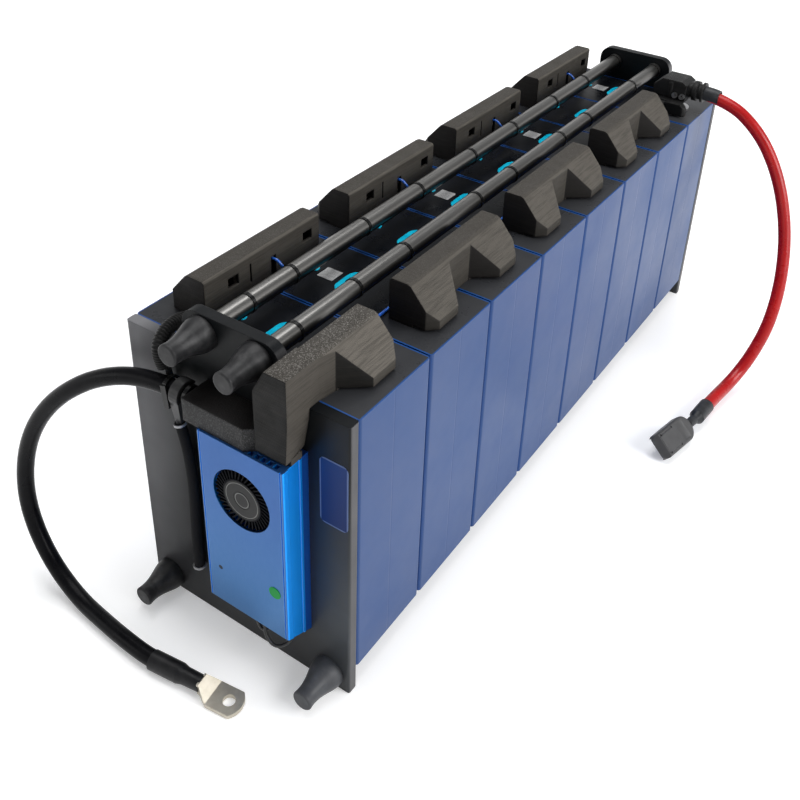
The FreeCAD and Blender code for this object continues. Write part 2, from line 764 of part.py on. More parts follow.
def bms_side(y_front, y_back):
    """Side outline of the unit between two depths, with its slanting lower end."""
    climb = (BMS_LOW_FRONT - BMS_LOW_BACK) / BMS_DEPTH
    high = CELL_LOW + BMS_TOP

    def low_at(y):
        return CELL_LOW + BMS_LOW_BACK + climb * (PLATE_FACE - y)

    return [(y_front, low_at(y_front)), (y_front, high), (y_back, high), (y_back, low_at(y_back))]


def make_bms_housing():
    """Extruded front of the unit: skin, row of fins, web and side walls."""
    shell = prism_yz(bms_side(BMS_FACE, BMS_BASE_FACE), BMS_LEFT, BMS_RIGHT)
    corners = edges_along(shell, Z_AXIS, lambda e: abs(e.CenterOfMass.y - BMS_FACE) < 0.01)
    shell = shell.makeFillet(BMS_EDGE, corners)
    bottom, top = CELL_LOW, CELL_LOW + BMS_TOP + BITE
    dish_front, dish_back = BMS_FACE + 5, BMS_BASE_FACE - 1.8
    for side in (-1, 1):
        groove = BMS_MID_X + side * (BMS_WIDTH / 2 - BMS_GROOVE_AT)
        x0, x1 = groove - BMS_GROOVE_WIDTH / 2, groove + BMS_GROOVE_WIDTH / 2
        shell = shell.cut(box(x0, x1, BMS_FACE - BITE, BMS_FACE + BMS_GROOVE_DEPTH, bottom, top))
        wall = BMS_MID_X + side * BMS_WIDTH / 2
        x0, x1 = sorted((wall - side * BMS_SIDE_DISH, wall + side * BITE))
        shell = shell.cut(box(x0, x1, dish_front, dish_back, bottom, top))
    cavity = box(BMS_LEFT + BMS_WALL, BMS_RIGHT - BMS_WALL, WEB_BACK, BMS_BASE_FACE + BITE, bottom, top)
    shell = shell.cut(cavity)
    slots = []
    for step in range(FIN_SLOT_COUNT):
        x = BMS_MID_X + (step - (FIN_SLOT_COUNT - 1) / 2) * FIN_PITCH
        y0 = BMS_FACE + BMS_SKIN
        slots.append(box(x - FIN_SLOT / 2, x + FIN_SLOT / 2, y0, y0 + FIN_DEPTH, bottom, top))
    shell = shell.cut(Part.makeCompound(slots))
    return shell.cut(cylinder_y(BMS_MID_X, FAN_Z, FAN_HOLE_RADIUS, BMS_FACE - BITE, BMS_BASE_FACE))


def make_bms_base():
    side = bms_side(BMS_BASE_FACE, PLATE_FACE)
    base = prism_yz(side, BMS_LEFT + BMS_BASE_INSET, BMS_RIGHT - BMS_BASE_INSET)
    return base


def make_bms_board():
    y1 = BMS_BASE_FACE
    edge = BMS_WALL + FLUSH
    low = CELL_LOW + BMS_LOW_FRONT - 4
    return box(BMS_LEFT + edge, BMS_RIGHT - edge, y1 - BOARD_THICK, y1, low, CELL_LOW + BMS_TOP - 4)


def make_bms_sockets():
    """Row of plug sockets on the lower end of the board."""
    y1 = BMS_BASE_FACE - BOARD_THICK
    low = CELL_LOW + BMS_LOW_FRONT - 4
    sockets = []
    for start, end in ((0.094, 0.359), (0.422, 0.609), (0.672, 0.812)):
        x0, x1 = BMS_LEFT + BMS_WIDTH * start, BMS_LEFT + BMS_WIDTH * end
        body = box(x0, x1, y1 - 6.5, y1, low, low + 11)
        mouth = box(x0 + 1.2, x1 - 1.2, y1 - 5.0, y1 - 1.5, low - BITE, low + 8)
        sockets.append(body.cut(mouth))
    return sockets


def make_fan_frame():
    """Cup behind the web with the shaft that the rotor turns on."""
    radius = FAN_HOLE_RADIUS + FAN_FRAME_WALL
    cup = cylinder_y(BMS_MID_X, FAN_Z, radius, WEB_BACK, FAN_FLOOR + FAN_FRAME_FLOOR)
    cup = cup.cut(cylinder_y(BMS_MID_X, FAN_Z, FAN_HOLE_RADIUS, WEB_BACK - BITE, FAN_FLOOR))
    shaft = cylinder_y(BMS_MID_X, FAN_Z, SHAFT_RADIUS, BMS_FACE + SHAFT_SET, FAN_FLOOR + 0.5)
    return fuse([cup, shaft])


def make_fan_stator():
    front = FAN_FLOOR - STATOR_LENGTH
    coil = cylinder_y(BMS_MID_X, FAN_Z, STATOR_RADIUS, front, FAN_FLOOR)
    return coil.cut(cylinder_y(BMS_MID_X, FAN_Z, STATOR_BORE, front - BITE, FAN_FLOOR + BITE))


def make_fan_rotor():
    """Blower wheel: hub cup with a bored boss, a back ring and a rim of leaning blades."""
    front, back = BMS_FACE + ROTOR_FACE_SET, FAN_FLOOR - ROTOR_BACK_GAP
    x, z = BMS_MID_X, FAN_Z

    def disc(radius, y0, y1):
        return cylinder_y(x, z, radius, y0, y1)

    def face_line(radius):
        line = disc(radius + ROTOR_LINE / 2, front - BITE, front + ROTOR_LINE_DEPTH)
        return line.cut(disc(radius - ROTOR_LINE / 2, front - 2 * BITE, front + BITE))

    hub = disc(ROTOR_HUB_RADIUS, front, back)
    hub = hub.cut(disc(ROTOR_HUB_RADIUS - ROTOR_HUB_WALL, front + ROTOR_FACE_THICK, back + BITE))
    boss = disc(BOSS_RADIUS, front + ROTOR_FACE_THICK / 2, back - 0.5)
    bore = disc(SHAFT_RADIUS + SHAFT_CLEARANCE, front + SHAFT_SET - ROTOR_FACE_SET - 1, back + BITE)
    ring = disc(ROTOR_RADIUS, back - ROTOR_RING_THICK, back)
    ring = ring.cut(disc(ROTOR_HUB_RADIUS - 0.6, back - 3, back + BITE))
    blade = box(
        x + ROTOR_HUB_RADIUS - 0.5,
        x + ROTOR_RADIUS + 2.5,
        front + ROTOR_BLADE_SET,
        back,
        z - ROTOR_BLADE_THICK / 2,
        z + ROTOR_BLADE_THICK / 2,
    )
    blade.rotate(V(x + ROTOR_HUB_RADIUS, 0, z), Y_AXIS, ROTOR_BLADE_LEAN)
    blade = blade.common(disc(ROTOR_RADIUS, front, back))
    blades = []
    for step in range(ROTOR_BLADE_COUNT):
        copy = blade.copy()
        copy.rotate(V(x, 0, z), Y_AXIS, step * 360 / ROTOR_BLADE_COUNT)
        blades.append(copy)
    wheel = hub.fuse([boss, ring] + blades).removeSplitter()
    for cut in (bore, face_line(ROTOR_OUTER_LINE), face_line(ROTOR_INNER_LINE)):
        wheel = wheel.cut(cut)
    return wheel


# Positive clamp at the rear


def make_clamp_base():
    """Lower half of the clamp, with a foot like the covers' feet."""
    low, high = TOP, TOP + CLAMP_BASE_HIGH
    y0, y1 = CLAMP_Y - CLAMP_HALF - 7, CLAMP_Y + CLAMP_HALF
    pad_edge = TERMINAL_X - TERMINAL_RADIUS - FLUSH
    block = box(CLAMP_IN + 3, pad_edge, y0, y1, low, high)
    bridge = box(CLAMP_IN + 3, CLAMP_MID, y0, y1, high - 1.4, high)
    foot_outline_xz = [
        (TERMINAL_X - 4, low + TOE_GAP),
        (TERMINAL_X - 4, high),
        (CLAMP_MID, high),
        (COVER_OUT, low + COVER_TOE),
        (COVER_OUT, low + TOE_GAP),
    ]
    foot = prism_xz(foot_outline_xz, y0 - 5, y0 + 3)
    corners = edges_along(foot, Z_AXIS, lambda e: e.CenterOfMass.x > CLAMP_MID)
    foot = foot.makeChamfer(2.0, corners)
    stud = cylinder_z(TERMINAL_X, cell_y(CELL_COUNT), STUD_RADIUS + FLUSH, low, high + BITE)
    return fuse([block, bridge, foot]).cut(stud)


def make_clamp_lid(cable):
    """Upper half, with ribs that grip the cable where it leaves."""
    low, high = TOP + CLAMP_BASE_HIGH, TOP + CLAMP_RISE
    y0, y1 = CLAMP_Y - CLAMP_HALF, CLAMP_Y + CLAMP_HALF
    outline = [
        (CLAMP_IN, low),
        (CLAMP_IN, high - 7),
        (CLAMP_IN + 8, high),
        (CLAMP_MID - 5, high),
        (CLAMP_MID, high - 3),
        (CLAMP_MID, low),
    ]
    pieces = [prism_xz(outline, y0, y1)]
    collars = [
        (CLAMP_MID, CLAMP_OUT, CLAMP_NECK_RADIUS),
        (CLAMP_MID + 4, CLAMP_MID + 8.5, CLAMP_RIB_RADIUS),
        (CLAMP_OUT - 2.4, CLAMP_OUT, CLAMP_RIB_RADIUS),
    ]
    for x0, x1, radius in collars:
        pieces.append(Part.makeCylinder(radius, x1 - x0, V(x0, CLAMP_Y, CLAMP_Z), X_AXIS))
    pieces.append(box(CLAMP_IN + 15, CLAMP_IN + 18.5, y0 - 1.2, y0, low, high - 2))
    stud_top = TOP + STUD_TOP + FLUSH
    stud = cylinder_z(TERMINAL_X, cell_y(CELL_COUNT), STUD_RADIUS + FLUSH, low - BITE, stud_top)
    return fuse(pieces).cut(stud).cut(cable)


def make_clamp_screws():
    screws = []
    low = TOP + CLAMP_BASE_HIGH
    for x in (CLAMP_MID - 10, CLAMP_MID - 3):
        y = CLAMP_Y - CLAMP_HALF
        head = Part.makeCylinder(CLAMP_SCREW_RADIUS, 2.4, V(x, y - 2.4, low + 4), Y_AXIS)
        screws.append(head)
    return screws


# Cables, wires and their fittings


def route_radii(points):
    """Radius of the arc at each inner point: 0.45 of the shorter run over tan(half turn)."""
    radii = []
    for before, here, after in zip(points, points[1:], points[2:]):
        a, b = here - before, after - here
        turn = a.getAngle(b)
        radii.append(0.45 * min(a.Length, b.Length) / math.tan(turn / 2))
    return radii


def route_wire(points):
    """Straight runs joined by tangent arcs."""
    edges = []
    start = points[0]
    inner = zip(points, points[1:], points[2:])
    for (before, here, after), radius in zip(inner, route_radii(points)):
        a, b = here - before, after - here
        half = a.getAngle(b) / 2
        back = radius * math.tan(half)
        a.normalize()
        b.normalize()
        first, last = here - a * back, here + b * back
        bisector = (b - a).normalize()
        middle = here + bisector * (radius / math.cos(half) - radius)
        edges.append(Part.LineSegment(start, first).toShape())
        edges.append(Part.Arc(first, middle, last).toShape())
        start = last
    edges.append(Part.LineSegment(start, points[-1]).toShape())
    return Part.Wire(edges)


def tube(points, radius):
    path = route_wire(points)
    direction = points[1] - points[0]
    section = Part.Wire([Part.makeCircle(radius, points[0], direction)])
    solid = path.makePipeShell([section], True, False)
    expected = math.pi * radius * radius * path.Length
    if abs(solid.Volume / expected - 1) > 0.01:
        raise ValueError("a tube's volume is not its section times its length")
    return solid


def placed(shape, origin, turn, roll=0):
    """Put a fitting at a cable's end: its own +X runs on along the cable."""
    turning = FreeCAD.Rotation(Z_AXIS, turn).multiply(FreeCAD.Rotation(X_AXIS, roll))
    copy = shape.copy()
    copy.Placement = FreeCAD.Placement(origin, turning).multiply(copy.Placement)
    return copy


def make_lug(barrel_radius, axis_rise, palm_low, barrel_from, barrel_to, palm_from):
    """Cable lug in its own frame: origin under the bolt hole, barrel towards -X."""
    barrel = Part.makeCylinder(barrel_radius, barrel_to - barrel_from, V(barrel_from, 0, axis_rise), X_AXIS)
    side = [
        (barrel_to - 1.5, axis_rise - barrel_radius),
        (barrel_to - 1.5, axis_rise + barrel_radius),
        (barrel_to, axis_rise + barrel_radius),
        (palm_from, palm_low + LUG_THICK),
        (palm_from, palm_low),
        (barrel_to, axis_rise - barrel_radius),
    ]
    neck = prism([V(x, -LUG_WIDTH, z) for x, z in side], V(0, 2 * LUG_WIDTH, 0))
    half = LUG_WIDTH / 2
    plan = [
        (barrel_to - 1.5, -barrel_radius),
        (barrel_to, -barrel_radius),
        (palm_from, -half),
        (palm_from, half),
        (barrel_to, barrel_radius),
        (barrel_to - 1.5, barrel_radius),
    ]
    neck = neck.common(prism_xy(plan, axis_rise - 20, axis_rise + 20))
    shoulder, tip = 5.3, 9.6
    corners = [V(palm_from, -half, palm_low), V(shoulder, -half, palm_low)]
    corners += [V(tip, 0, palm_low), V(shoulder, half, palm_low), V(palm_from, half, palm_low)]
    rim = [
        Part.LineSegment(corners[0], corners[1]).toShape(),
        Part.Arc(corners[1], corners[2], corners[3]).toShape(),
        Part.LineSegment(corners[3], corners[4]).toShape(),
        Part.LineSegment(corners[4], corners[0]).toShape(),
    ]
    palm = Part.Face(Part.Wire(rim)).extrude(V(0, 0, LUG_THICK))
    lug = fuse([barrel, neck, palm])
    return lug.cut(cylinder_z(0, 0, LUG_HOLE_RADIUS, palm_low - BITE, palm_low + LUG_THICK + BITE))


def make_shrink(places):
    """Filled body of a shrunk tube along +X, from (x, radius) pairs."""
    outline = [V(places[0][0], 0, 0)]
    outline += [V(x, 0, radius) for x, radius in places]
    outline += [V(places[-1][0], 0, 0)]
    return Part.Face(Part.makePolygon(outline + outline[:1])).revolve(V(0, 0, 0), X_AXIS, 360)


# Negative cable: from the lead cover out to the left, down in a wide bow and back
NEG_TURN = 7.5
NEG_HOLE = V(28.3, FRONT - 57.5, 0)
NEG_AXIS_Z = CABLE_RADIUS + SHRINK_WALL
NEG_END = -40.0  # cable's end and barrel's mouth, along the lug from its hole
NEG_ALONG = FreeCAD.Rotation(Z_AXIS, NEG_TURN).multVec(X_AXIS)
NEG_AXIS = NEG_HOLE + V(0, 0, NEG_AXIS_Z)
NEG_ROUTE = [
    spot(-18.0, -19.1, BMS_TOP + 9.1),
    spot(-52.0, -19.6, BMS_TOP + 10.3),
    spot(-90.0, -28.0, 173.0),
    spot(-124.0, -38.0, 148.0),
    spot(-149.0, -44.5, 114.0),
    spot(-162.0, -49.0, 75.0),
    spot(-161.5, -52.5, 37.0),
    spot(-143.0, -56.0, 5.2),
    spot(-111.5, -59.5, -12.8),
    spot(-76.0, -63.2, -12.8),
    spot(-52.0, -64.9, -12.5),
    NEG_AXIS + NEG_ALONG * (NEG_END - 20),
    NEG_AXIS + NEG_ALONG * NEG_END,
]

# Positive cable: from the clamp out to the right and down to its hooded lug
POS_TURN = -101.5  # of the lug in its hood
POS_ENTRY = -95.0  # of the cable's last run
POS_ROLL = -39.0
POS_END = past_clamp(180.4, -165.5, -6.5)
POS_ALONG = FreeCAD.Rotation(Z_AXIS, POS_ENTRY).multVec(X_AXIS)
POS_ROUTE = [
    V(CLAMP_MID - 6, CLAMP_Y, CLAMP_Z),
    V(CLAMP_OUT + 20.4, CLAMP_Y, CLAMP_Z - 0.7),
    past_clamp(144.0, -3.5, 203.7),
    past_clamp(170.5, -9.0, 169.2),
    past_clamp(189.0, -17.5, 126.2),
    past_clamp(200.0, -35.0, 85.0),
    past_clamp(203.5, -57.0, 46.0),
    past_clamp(197.5, -74.0, 14.0),
    past_clamp(189.0, -94.0, -7.0),
    POS_END - POS_ALONG * 26,
    POS_END,
]


def make_negative_fittings(cable):
    """Open ring lug and the shrunk tube over its barrel and the cable's end."""
    lug = make_lug(NEG_BARREL_RADIUS, NEG_AXIS_Z, LUG_OFF_FLOOR, NEG_END, NEG_BARREL_END, NEG_PALM_START)
    lug = placed(lug, NEG_HOLE, NEG_TURN)
    shrink = make_shrink([
        (NEG_END - NEG_SHRINK_BACK, CABLE_RADIUS + SHRINK_WALL),
        (NEG_END + 2, CABLE_RADIUS + SHRINK_WALL),
        (NEG_END + 6, NEG_BARREL_RADIUS + SHRINK_WALL),
        (NEG_BARREL_END - 0.5, NEG_BARREL_RADIUS + SHRINK_WALL - 0.3),
    ])
    return lug, placed(shrink, NEG_AXIS, NEG_TURN).cut(cable).cut(lug)


def make_boot():
    """Moulded hood over the positive lug, in the cable end's frame."""
    x0, x1 = BOOT_START, BOOT_START + BOOT_LENGTH
    half = BOOT_HALF
    low, high = -BOOT_DEEP, BOOT_HIGH
    body = box(x0, x1, -half, half, low, high - 0.6)
    rear = edges_along(body, Z_AXIS, lambda e: e.CenterOfMass.x < x0 + 1)
    body = body.makeFillet(BOOT_SHOULDER, rear)
    front = edges_along(body, Z_AXIS, lambda e: e.CenterOfMass.x > x1 - 1)
    body = body.makeFillet(4.0, front)
    body = body.makeFillet(1.8, [e for e in body.Edges if e.CenterOfMass.z > high - 0.7])
    pad = box(x0 + BOOT_PAD_AT, x0 + BOOT_PAD_END, -half + 3, half - 3, 0, high)
    pad = pad.makeChamfer(0.5, [e for e in pad.Edges if e.CenterOfMass.z > high - 0.1])
    scoop = Part.makeCylinder(30.0, 2 * half - 6, V(x0 + 13.5, -half + 3, high + 29.0), Y_AXIS)
    bevel = prism(
        [
            V(x0 + BOOT_PAD_END, -2 * half, high),
            V(x1, -2 * half, high - BOOT_BEVEL_DROP),
            V(x1 + 5, -2 * half, high - BOOT_BEVEL_DROP),
            V(x1 + 5, -2 * half, high + BITE),
            V(x0 + BOOT_PAD_END, -2 * half, high + BITE),
        ],
        V(0, 4 * half, 0),
    )
    boot = fuse([body.cut(scoop), pad]).cut(bevel)
    pits = [
        cylinder_z(x, y, 1.0, high - 1.6, high + BITE)
        for x in (x0 + BOOT_PAD_AT, x0 + BOOT_PAD_END - 2)
        for y in (-half + 2.9, half - 2.9)
    ]
    inside = BOOT_INSIDE_HALF
    cavity = box(x0 + 8, x1 - 8, -inside, inside, low - BITE, high - 3.6)
    mouth = box(x1 - 9, x1 + BITE, -inside, inside, low - BITE, high - BOOT_BEVEL_DROP - 2)
    bore = Part.makeCylinder(POS_BARREL_RADIUS, 12, V(x0 - BITE, 0, 0), X_AXIS)
    return boot.cut(Part.makeCompound(pits)).cut(cavity.fuse(mouth)).cut(bore)


def make_positive_fittings(cable):
    """Lug inside the hood, shrunk tubes at both ends of the cable, and the hood."""
    tilt = (POS_TURN, POS_ROLL)
    hole = BOOT_START + BOOT_HOLE_AT
    lug = make_lug(POS_BARREL_RADIUS, 0, -POS_BARREL_RADIUS - 0.6, -hole - BITE, -18, -12)
    lug.translate(V(hole, 0, 0))
    lug = placed(lug, POS_END, *tilt).cut(cable)
    shrink = make_shrink([
        (0, CABLE_RADIUS + SHRINK_WALL),
        (5, POS_BARREL_RADIUS + SHRINK_WALL),
        (BOOT_START, POS_BARREL_RADIUS + SHRINK_WALL),
    ])
    skirt = Part.makeCylinder(CABLE_RADIUS + SHRINK_WALL, POS_SHRINK_BACK, POS_END, -POS_ALONG)
    shrink = fuse([placed(shrink, POS_END, *tilt), skirt]).cut(cable).cut(lug)
    around = 3 * CABLE_RADIUS
    y0, y1, z0, z1 = CLAMP_Y - around, CLAMP_Y + around, CLAMP_Z - around, CLAMP_Z + around
    collar = tube(POS_ROUTE, CABLE_RADIUS + SHRINK_WALL)
    collar = collar.common(box(CLAMP_OUT, CLAMP_OUT + CLAMP_SLEEVE, y0, y1, z0, z1))
    return lug, [shrink, collar.cut(cable)], placed(make_boot(), POS_END, *tilt).cut(lug)


# Wires: the braided harness on the front plate and the sense wires over the cells


def beside_unit(x, out, share, rise=0):
    """A point out from the plate, at a share of the unit's height and a rise above that."""
    return V(x, PLATE_FACE - out, CELL_LOW + BMS_TOP * share + rise)


def over_cells(x, y, rise):
    """A point given from the front cell's face (y) and from the cell tops."""
    return V(x, FRONT + y, TOP + rise)


def sleeve_top(rise=0):
    return beside_unit(-42.6, 4.4, 0.855, rise)


def make_harness_sleeve():
    """Braided sleeve up the plate, with a crimped ring at each end."""
    top = sleeve_top()
    route = [
        beside_unit(-37.4, 4.4, 0.136),
        beside_unit(-38.4, 3.7, 0.290),
        beside_unit(-37.0, 3.8, 0.452),
        beside_unit(-36.4, 3.9, 0.603),
        beside_unit(-38.6, 3.8, 0.742),
        top,
    ]
    rings = []
    for here, after in ((route[0], route[1]), (route[-1], route[-2])):
        along = (after - here).normalize()
        ring = Part.makeCylinder(SLEEVE_RING_RADIUS, 1.6, here, along)
        rings.append(ring.cut(Part.makeCylinder(HARNESS_RADIUS, 4, here - along, along)))
    return tube(route, HARNESS_RADIUS), rings


def make_harness_strand():
    """Thin bundle from the sleeve behind the cable to the conduit, with a band over the cable."""
    strand = tube(
        [
            sleeve_top(FLUSH),
            beside_unit(-44.8, 4.7, 0.917),
            beside_unit(-47.4, 3.6, 1, -0.5),
            beside_unit(-48.8, 3.8, 1, 12.5),
            beside_unit(-46.8, 6.4, 1, 19.9),
        ],
        STRAND_RADIUS,
    )
    return fuse([strand, make_harness_band()])


def make_harness_band():
    """Band that leans up from the sleeve's top and wraps over the cable."""
    middle = beside_unit(BAND_X, TIED_OUT, 1, TIED_RISE)
    inner, outer = CABLE_RADIUS + BAND_GAP, CABLE_RADIUS + BAND_GAP + BAND_THICK
    start = math.radians(BAND_START)
    out = V(0, -math.cos(start), math.sin(start))
    left, right = V(-BAND_WIDTH / 2, 0, 0), V(BAND_WIDTH / 2, 0, 0)
    high = [middle + out * inner + left, middle + out * outer + left]
    high += [middle + out * outer + right, middle + out * inner + right]
    wrap = Part.Face(Part.makePolygon(high + high[:1])).revolve(middle, -X_AXIS, BAND_TURN)
    foot = sleeve_top(BITE)
    half = V(0, BAND_THICK / 2, 0)
    low = [foot + left * 0.75 + half, foot + left * 0.75 - half]
    low += [foot + right * 0.75 - half, foot + right * 0.75 + half]
    wires = [Part.makePolygon(corners + corners[:1]) for corners in (low, high)]
    return fuse([wrap, Part.makeLoft(wires, True, True)])


def make_harness_conduit():
    """Corrugated conduit from the cell tops over the plate's edge to the bundle."""
    return tube(
        [
            over_cells(-COVER_IN - 6.0, 14.4, 5.4),
            over_cells(-COVER_IN - 7.0, 4.5, 9.0),
            over_cells(-COVER_IN - 6.6, -7.5, 10.2),
            over_cells(-48.2, -17.6, 5.2),
            over_cells(-47.4, -18.4, -5.0),
            beside_unit(-46.6, 8.6, 1, 20.6),
        ],
        CONDUIT_RADIUS,
    )


def make_harness_ties(cable):
    """Two ties round the cable by the lead cover, one with its tail left on."""
    centre = beside_unit(0, TIED_OUT, 1, TIED_RISE)
    y, z = centre.y, centre.z
    ties = []
    for x in (TIE_LEFT_X, TIE_RIGHT_X):
        ring = Part.makeCylinder(CABLE_RADIUS + 1.3, 2.6, V(x, y, z + 0.1), X_AXIS)
        head = box(x - 0.7, x + 3.3, y - 4.6, y + 0.6, z - CABLE_RADIUS - 3.6, z - CABLE_RADIUS)
        ties.append(fuse([ring, head]))
    out = TIED_OUT + CABLE_RADIUS
    tail = prism(
        [
            beside_unit(TIE_LEFT_X - 0.4, out, 1, 14.0),
            beside_unit(TIE_LEFT_X + 4.2, out, 1, 15.4),
            beside_unit(TIE_LEFT_X + 5.8, out, 1, -1.0),
            beside_unit(TIE_LEFT_X + 2.0, out, 1, -2.4),
        ],
        V(0, -1.6, 0),
    )
    ties[0] = fuse([ties[0], tail])
    return [tie.cut(cable) for tie in ties]


def make_sense_wires():
    """A trunk along each row of covers and a short lead out of every pair cover."""
    x_left, x_right = 7.0 - COVER_IN, COVER_IN - 5.2
    reach = STACK - 16.4
    rows = [20 + (reach - 74) / 11 * step for step in range(12)]
    right = [over_cells(x_right + 0.5 * (-1) ** n, y, 1.3 + 0.2 * (n % 3)) for n, y in enumerate(rows)]
    left = [over_cells(x_left + 0.3 * (-1) ** n, y, 1.4 + 0.2 * (n % 3)) for n, y in enumerate(rows)]
    right = [over_cells(x_right - 3.8, 4.0, 2.2)] + right
    right += [over_cells(x_right + 2.2, reach - 21.0, 4.2), over_cells(x_right + 4.0, reach - 6.0, 8.2)]
    left = [over_cells(x_left - 7.9, 7.0, 6.0), over_cells(x_left - 3.6, 13.5, 2.6)] + left
    left.append(over_cells(x_left, reach - 30.0, 1.4))
    wires = [tube(right, WIRE_RADIUS), tube(left, WIRE_RADIUS)]
    slot = PITCH / 2 + WIRE_SLOT_AT
    for first in range(1, CELL_COUNT, 2):
        y = cell_y(first) - FRONT + slot
        lead = [
            over_cells(-COVER_IN - 3.5, y, 16.5),
            over_cells(-COVER_IN + 2.5, y, 17.8),
            over_cells(-COVER_IN + 8.0, y + 1.5, 11.7),
            over_cells(-COVER_IN + 10.5, y + 4.0, 6.5),
            over_cells(-COVER_IN + 8.8, y + 8.0, 3.2),
        ]
        wires.append(tube(lead, WIRE_RADIUS))
    for first in range(2, CELL_COUNT - 1, 2):
        y = cell_y(first) - FRONT + slot
        lead = [
            over_cells(COVER_IN + 3.5, y, 10.2),
            over_cells(COVER_IN - 1.5, y, 12.2),
            over_cells(COVER_IN - 3.4, y + 2.5, 7.2),
            over_cells(COVER_IN - 3.2, y + 7.0, 3.2),
        ]
        wires.append(tube(lead, WIRE_RADIUS))
    return wires


def make_bms_tails():
    """Loops of thin wire that hang from the sockets under the unit."""

    def hang(share, out, drop):
        return V(BMS_LEFT + BMS_WIDTH * share, BMS_BASE_FACE - out, CELL_LOW + BMS_LOW_FRONT - drop)

    first = [
        hang(0.466, 4.8, -2.0),
        hang(0.467, 5.2, 5.5),
        hang(0.492, 8.8, 14.0),
        hang(0.562, 8.8, 19.5),
        hang(0.633, 3.3, 17.0),
        hang(0.641, -0.7, 11.4),
    ]
    second = [
        hang(0.559, 4.8, -2.0),
        hang(0.563, 5.4, 5.5),
        hang(0.625, 11.8, 17.0),
        hang(0.750, 11.8, 23.5),
        hang(0.844, 5.3, 22.0),
        hang(0.875, -0.7, 12.2),
    ]
    third = [
        hang(0.727, 4.8, -2.0),
        hang(0.728, 5.3, 5.5),
        hang(0.750, 6.8, 14.0),
        hang(0.797, 4.1, 18.5),
        hang(0.820, 0.3, 16.5),
        hang(0.825, -2.2, 11.0),
    ]
    return [tube(loop, TAIL_RADIUS) for loop in (first, second, third)]


def make_stickers():
    """Blank sticker on the front plate and a plain round dot on the unit."""
    y, right, high = PLATE_FACE, HALF_WIDTH - STICKER_EDGE, TOP - STICKER_DROP
    blank = box(right - STICKER_WIDTH, right, y - STICKER_THICK, y, high - STICKER_TALL, high)
    blank = blank.makeFillet(STICKER_CORNER, edges_along(blank, Y_AXIS))
    dot_z = CELL_LOW + BMS_LOW_FRONT + DOT_RISE
    dot = cylinder_y(BMS_RIGHT - DOT_IN, dot_z, DOT_RADIUS, BMS_FACE - STICKER_THICK, BMS_FACE)
    return [blank, dot]


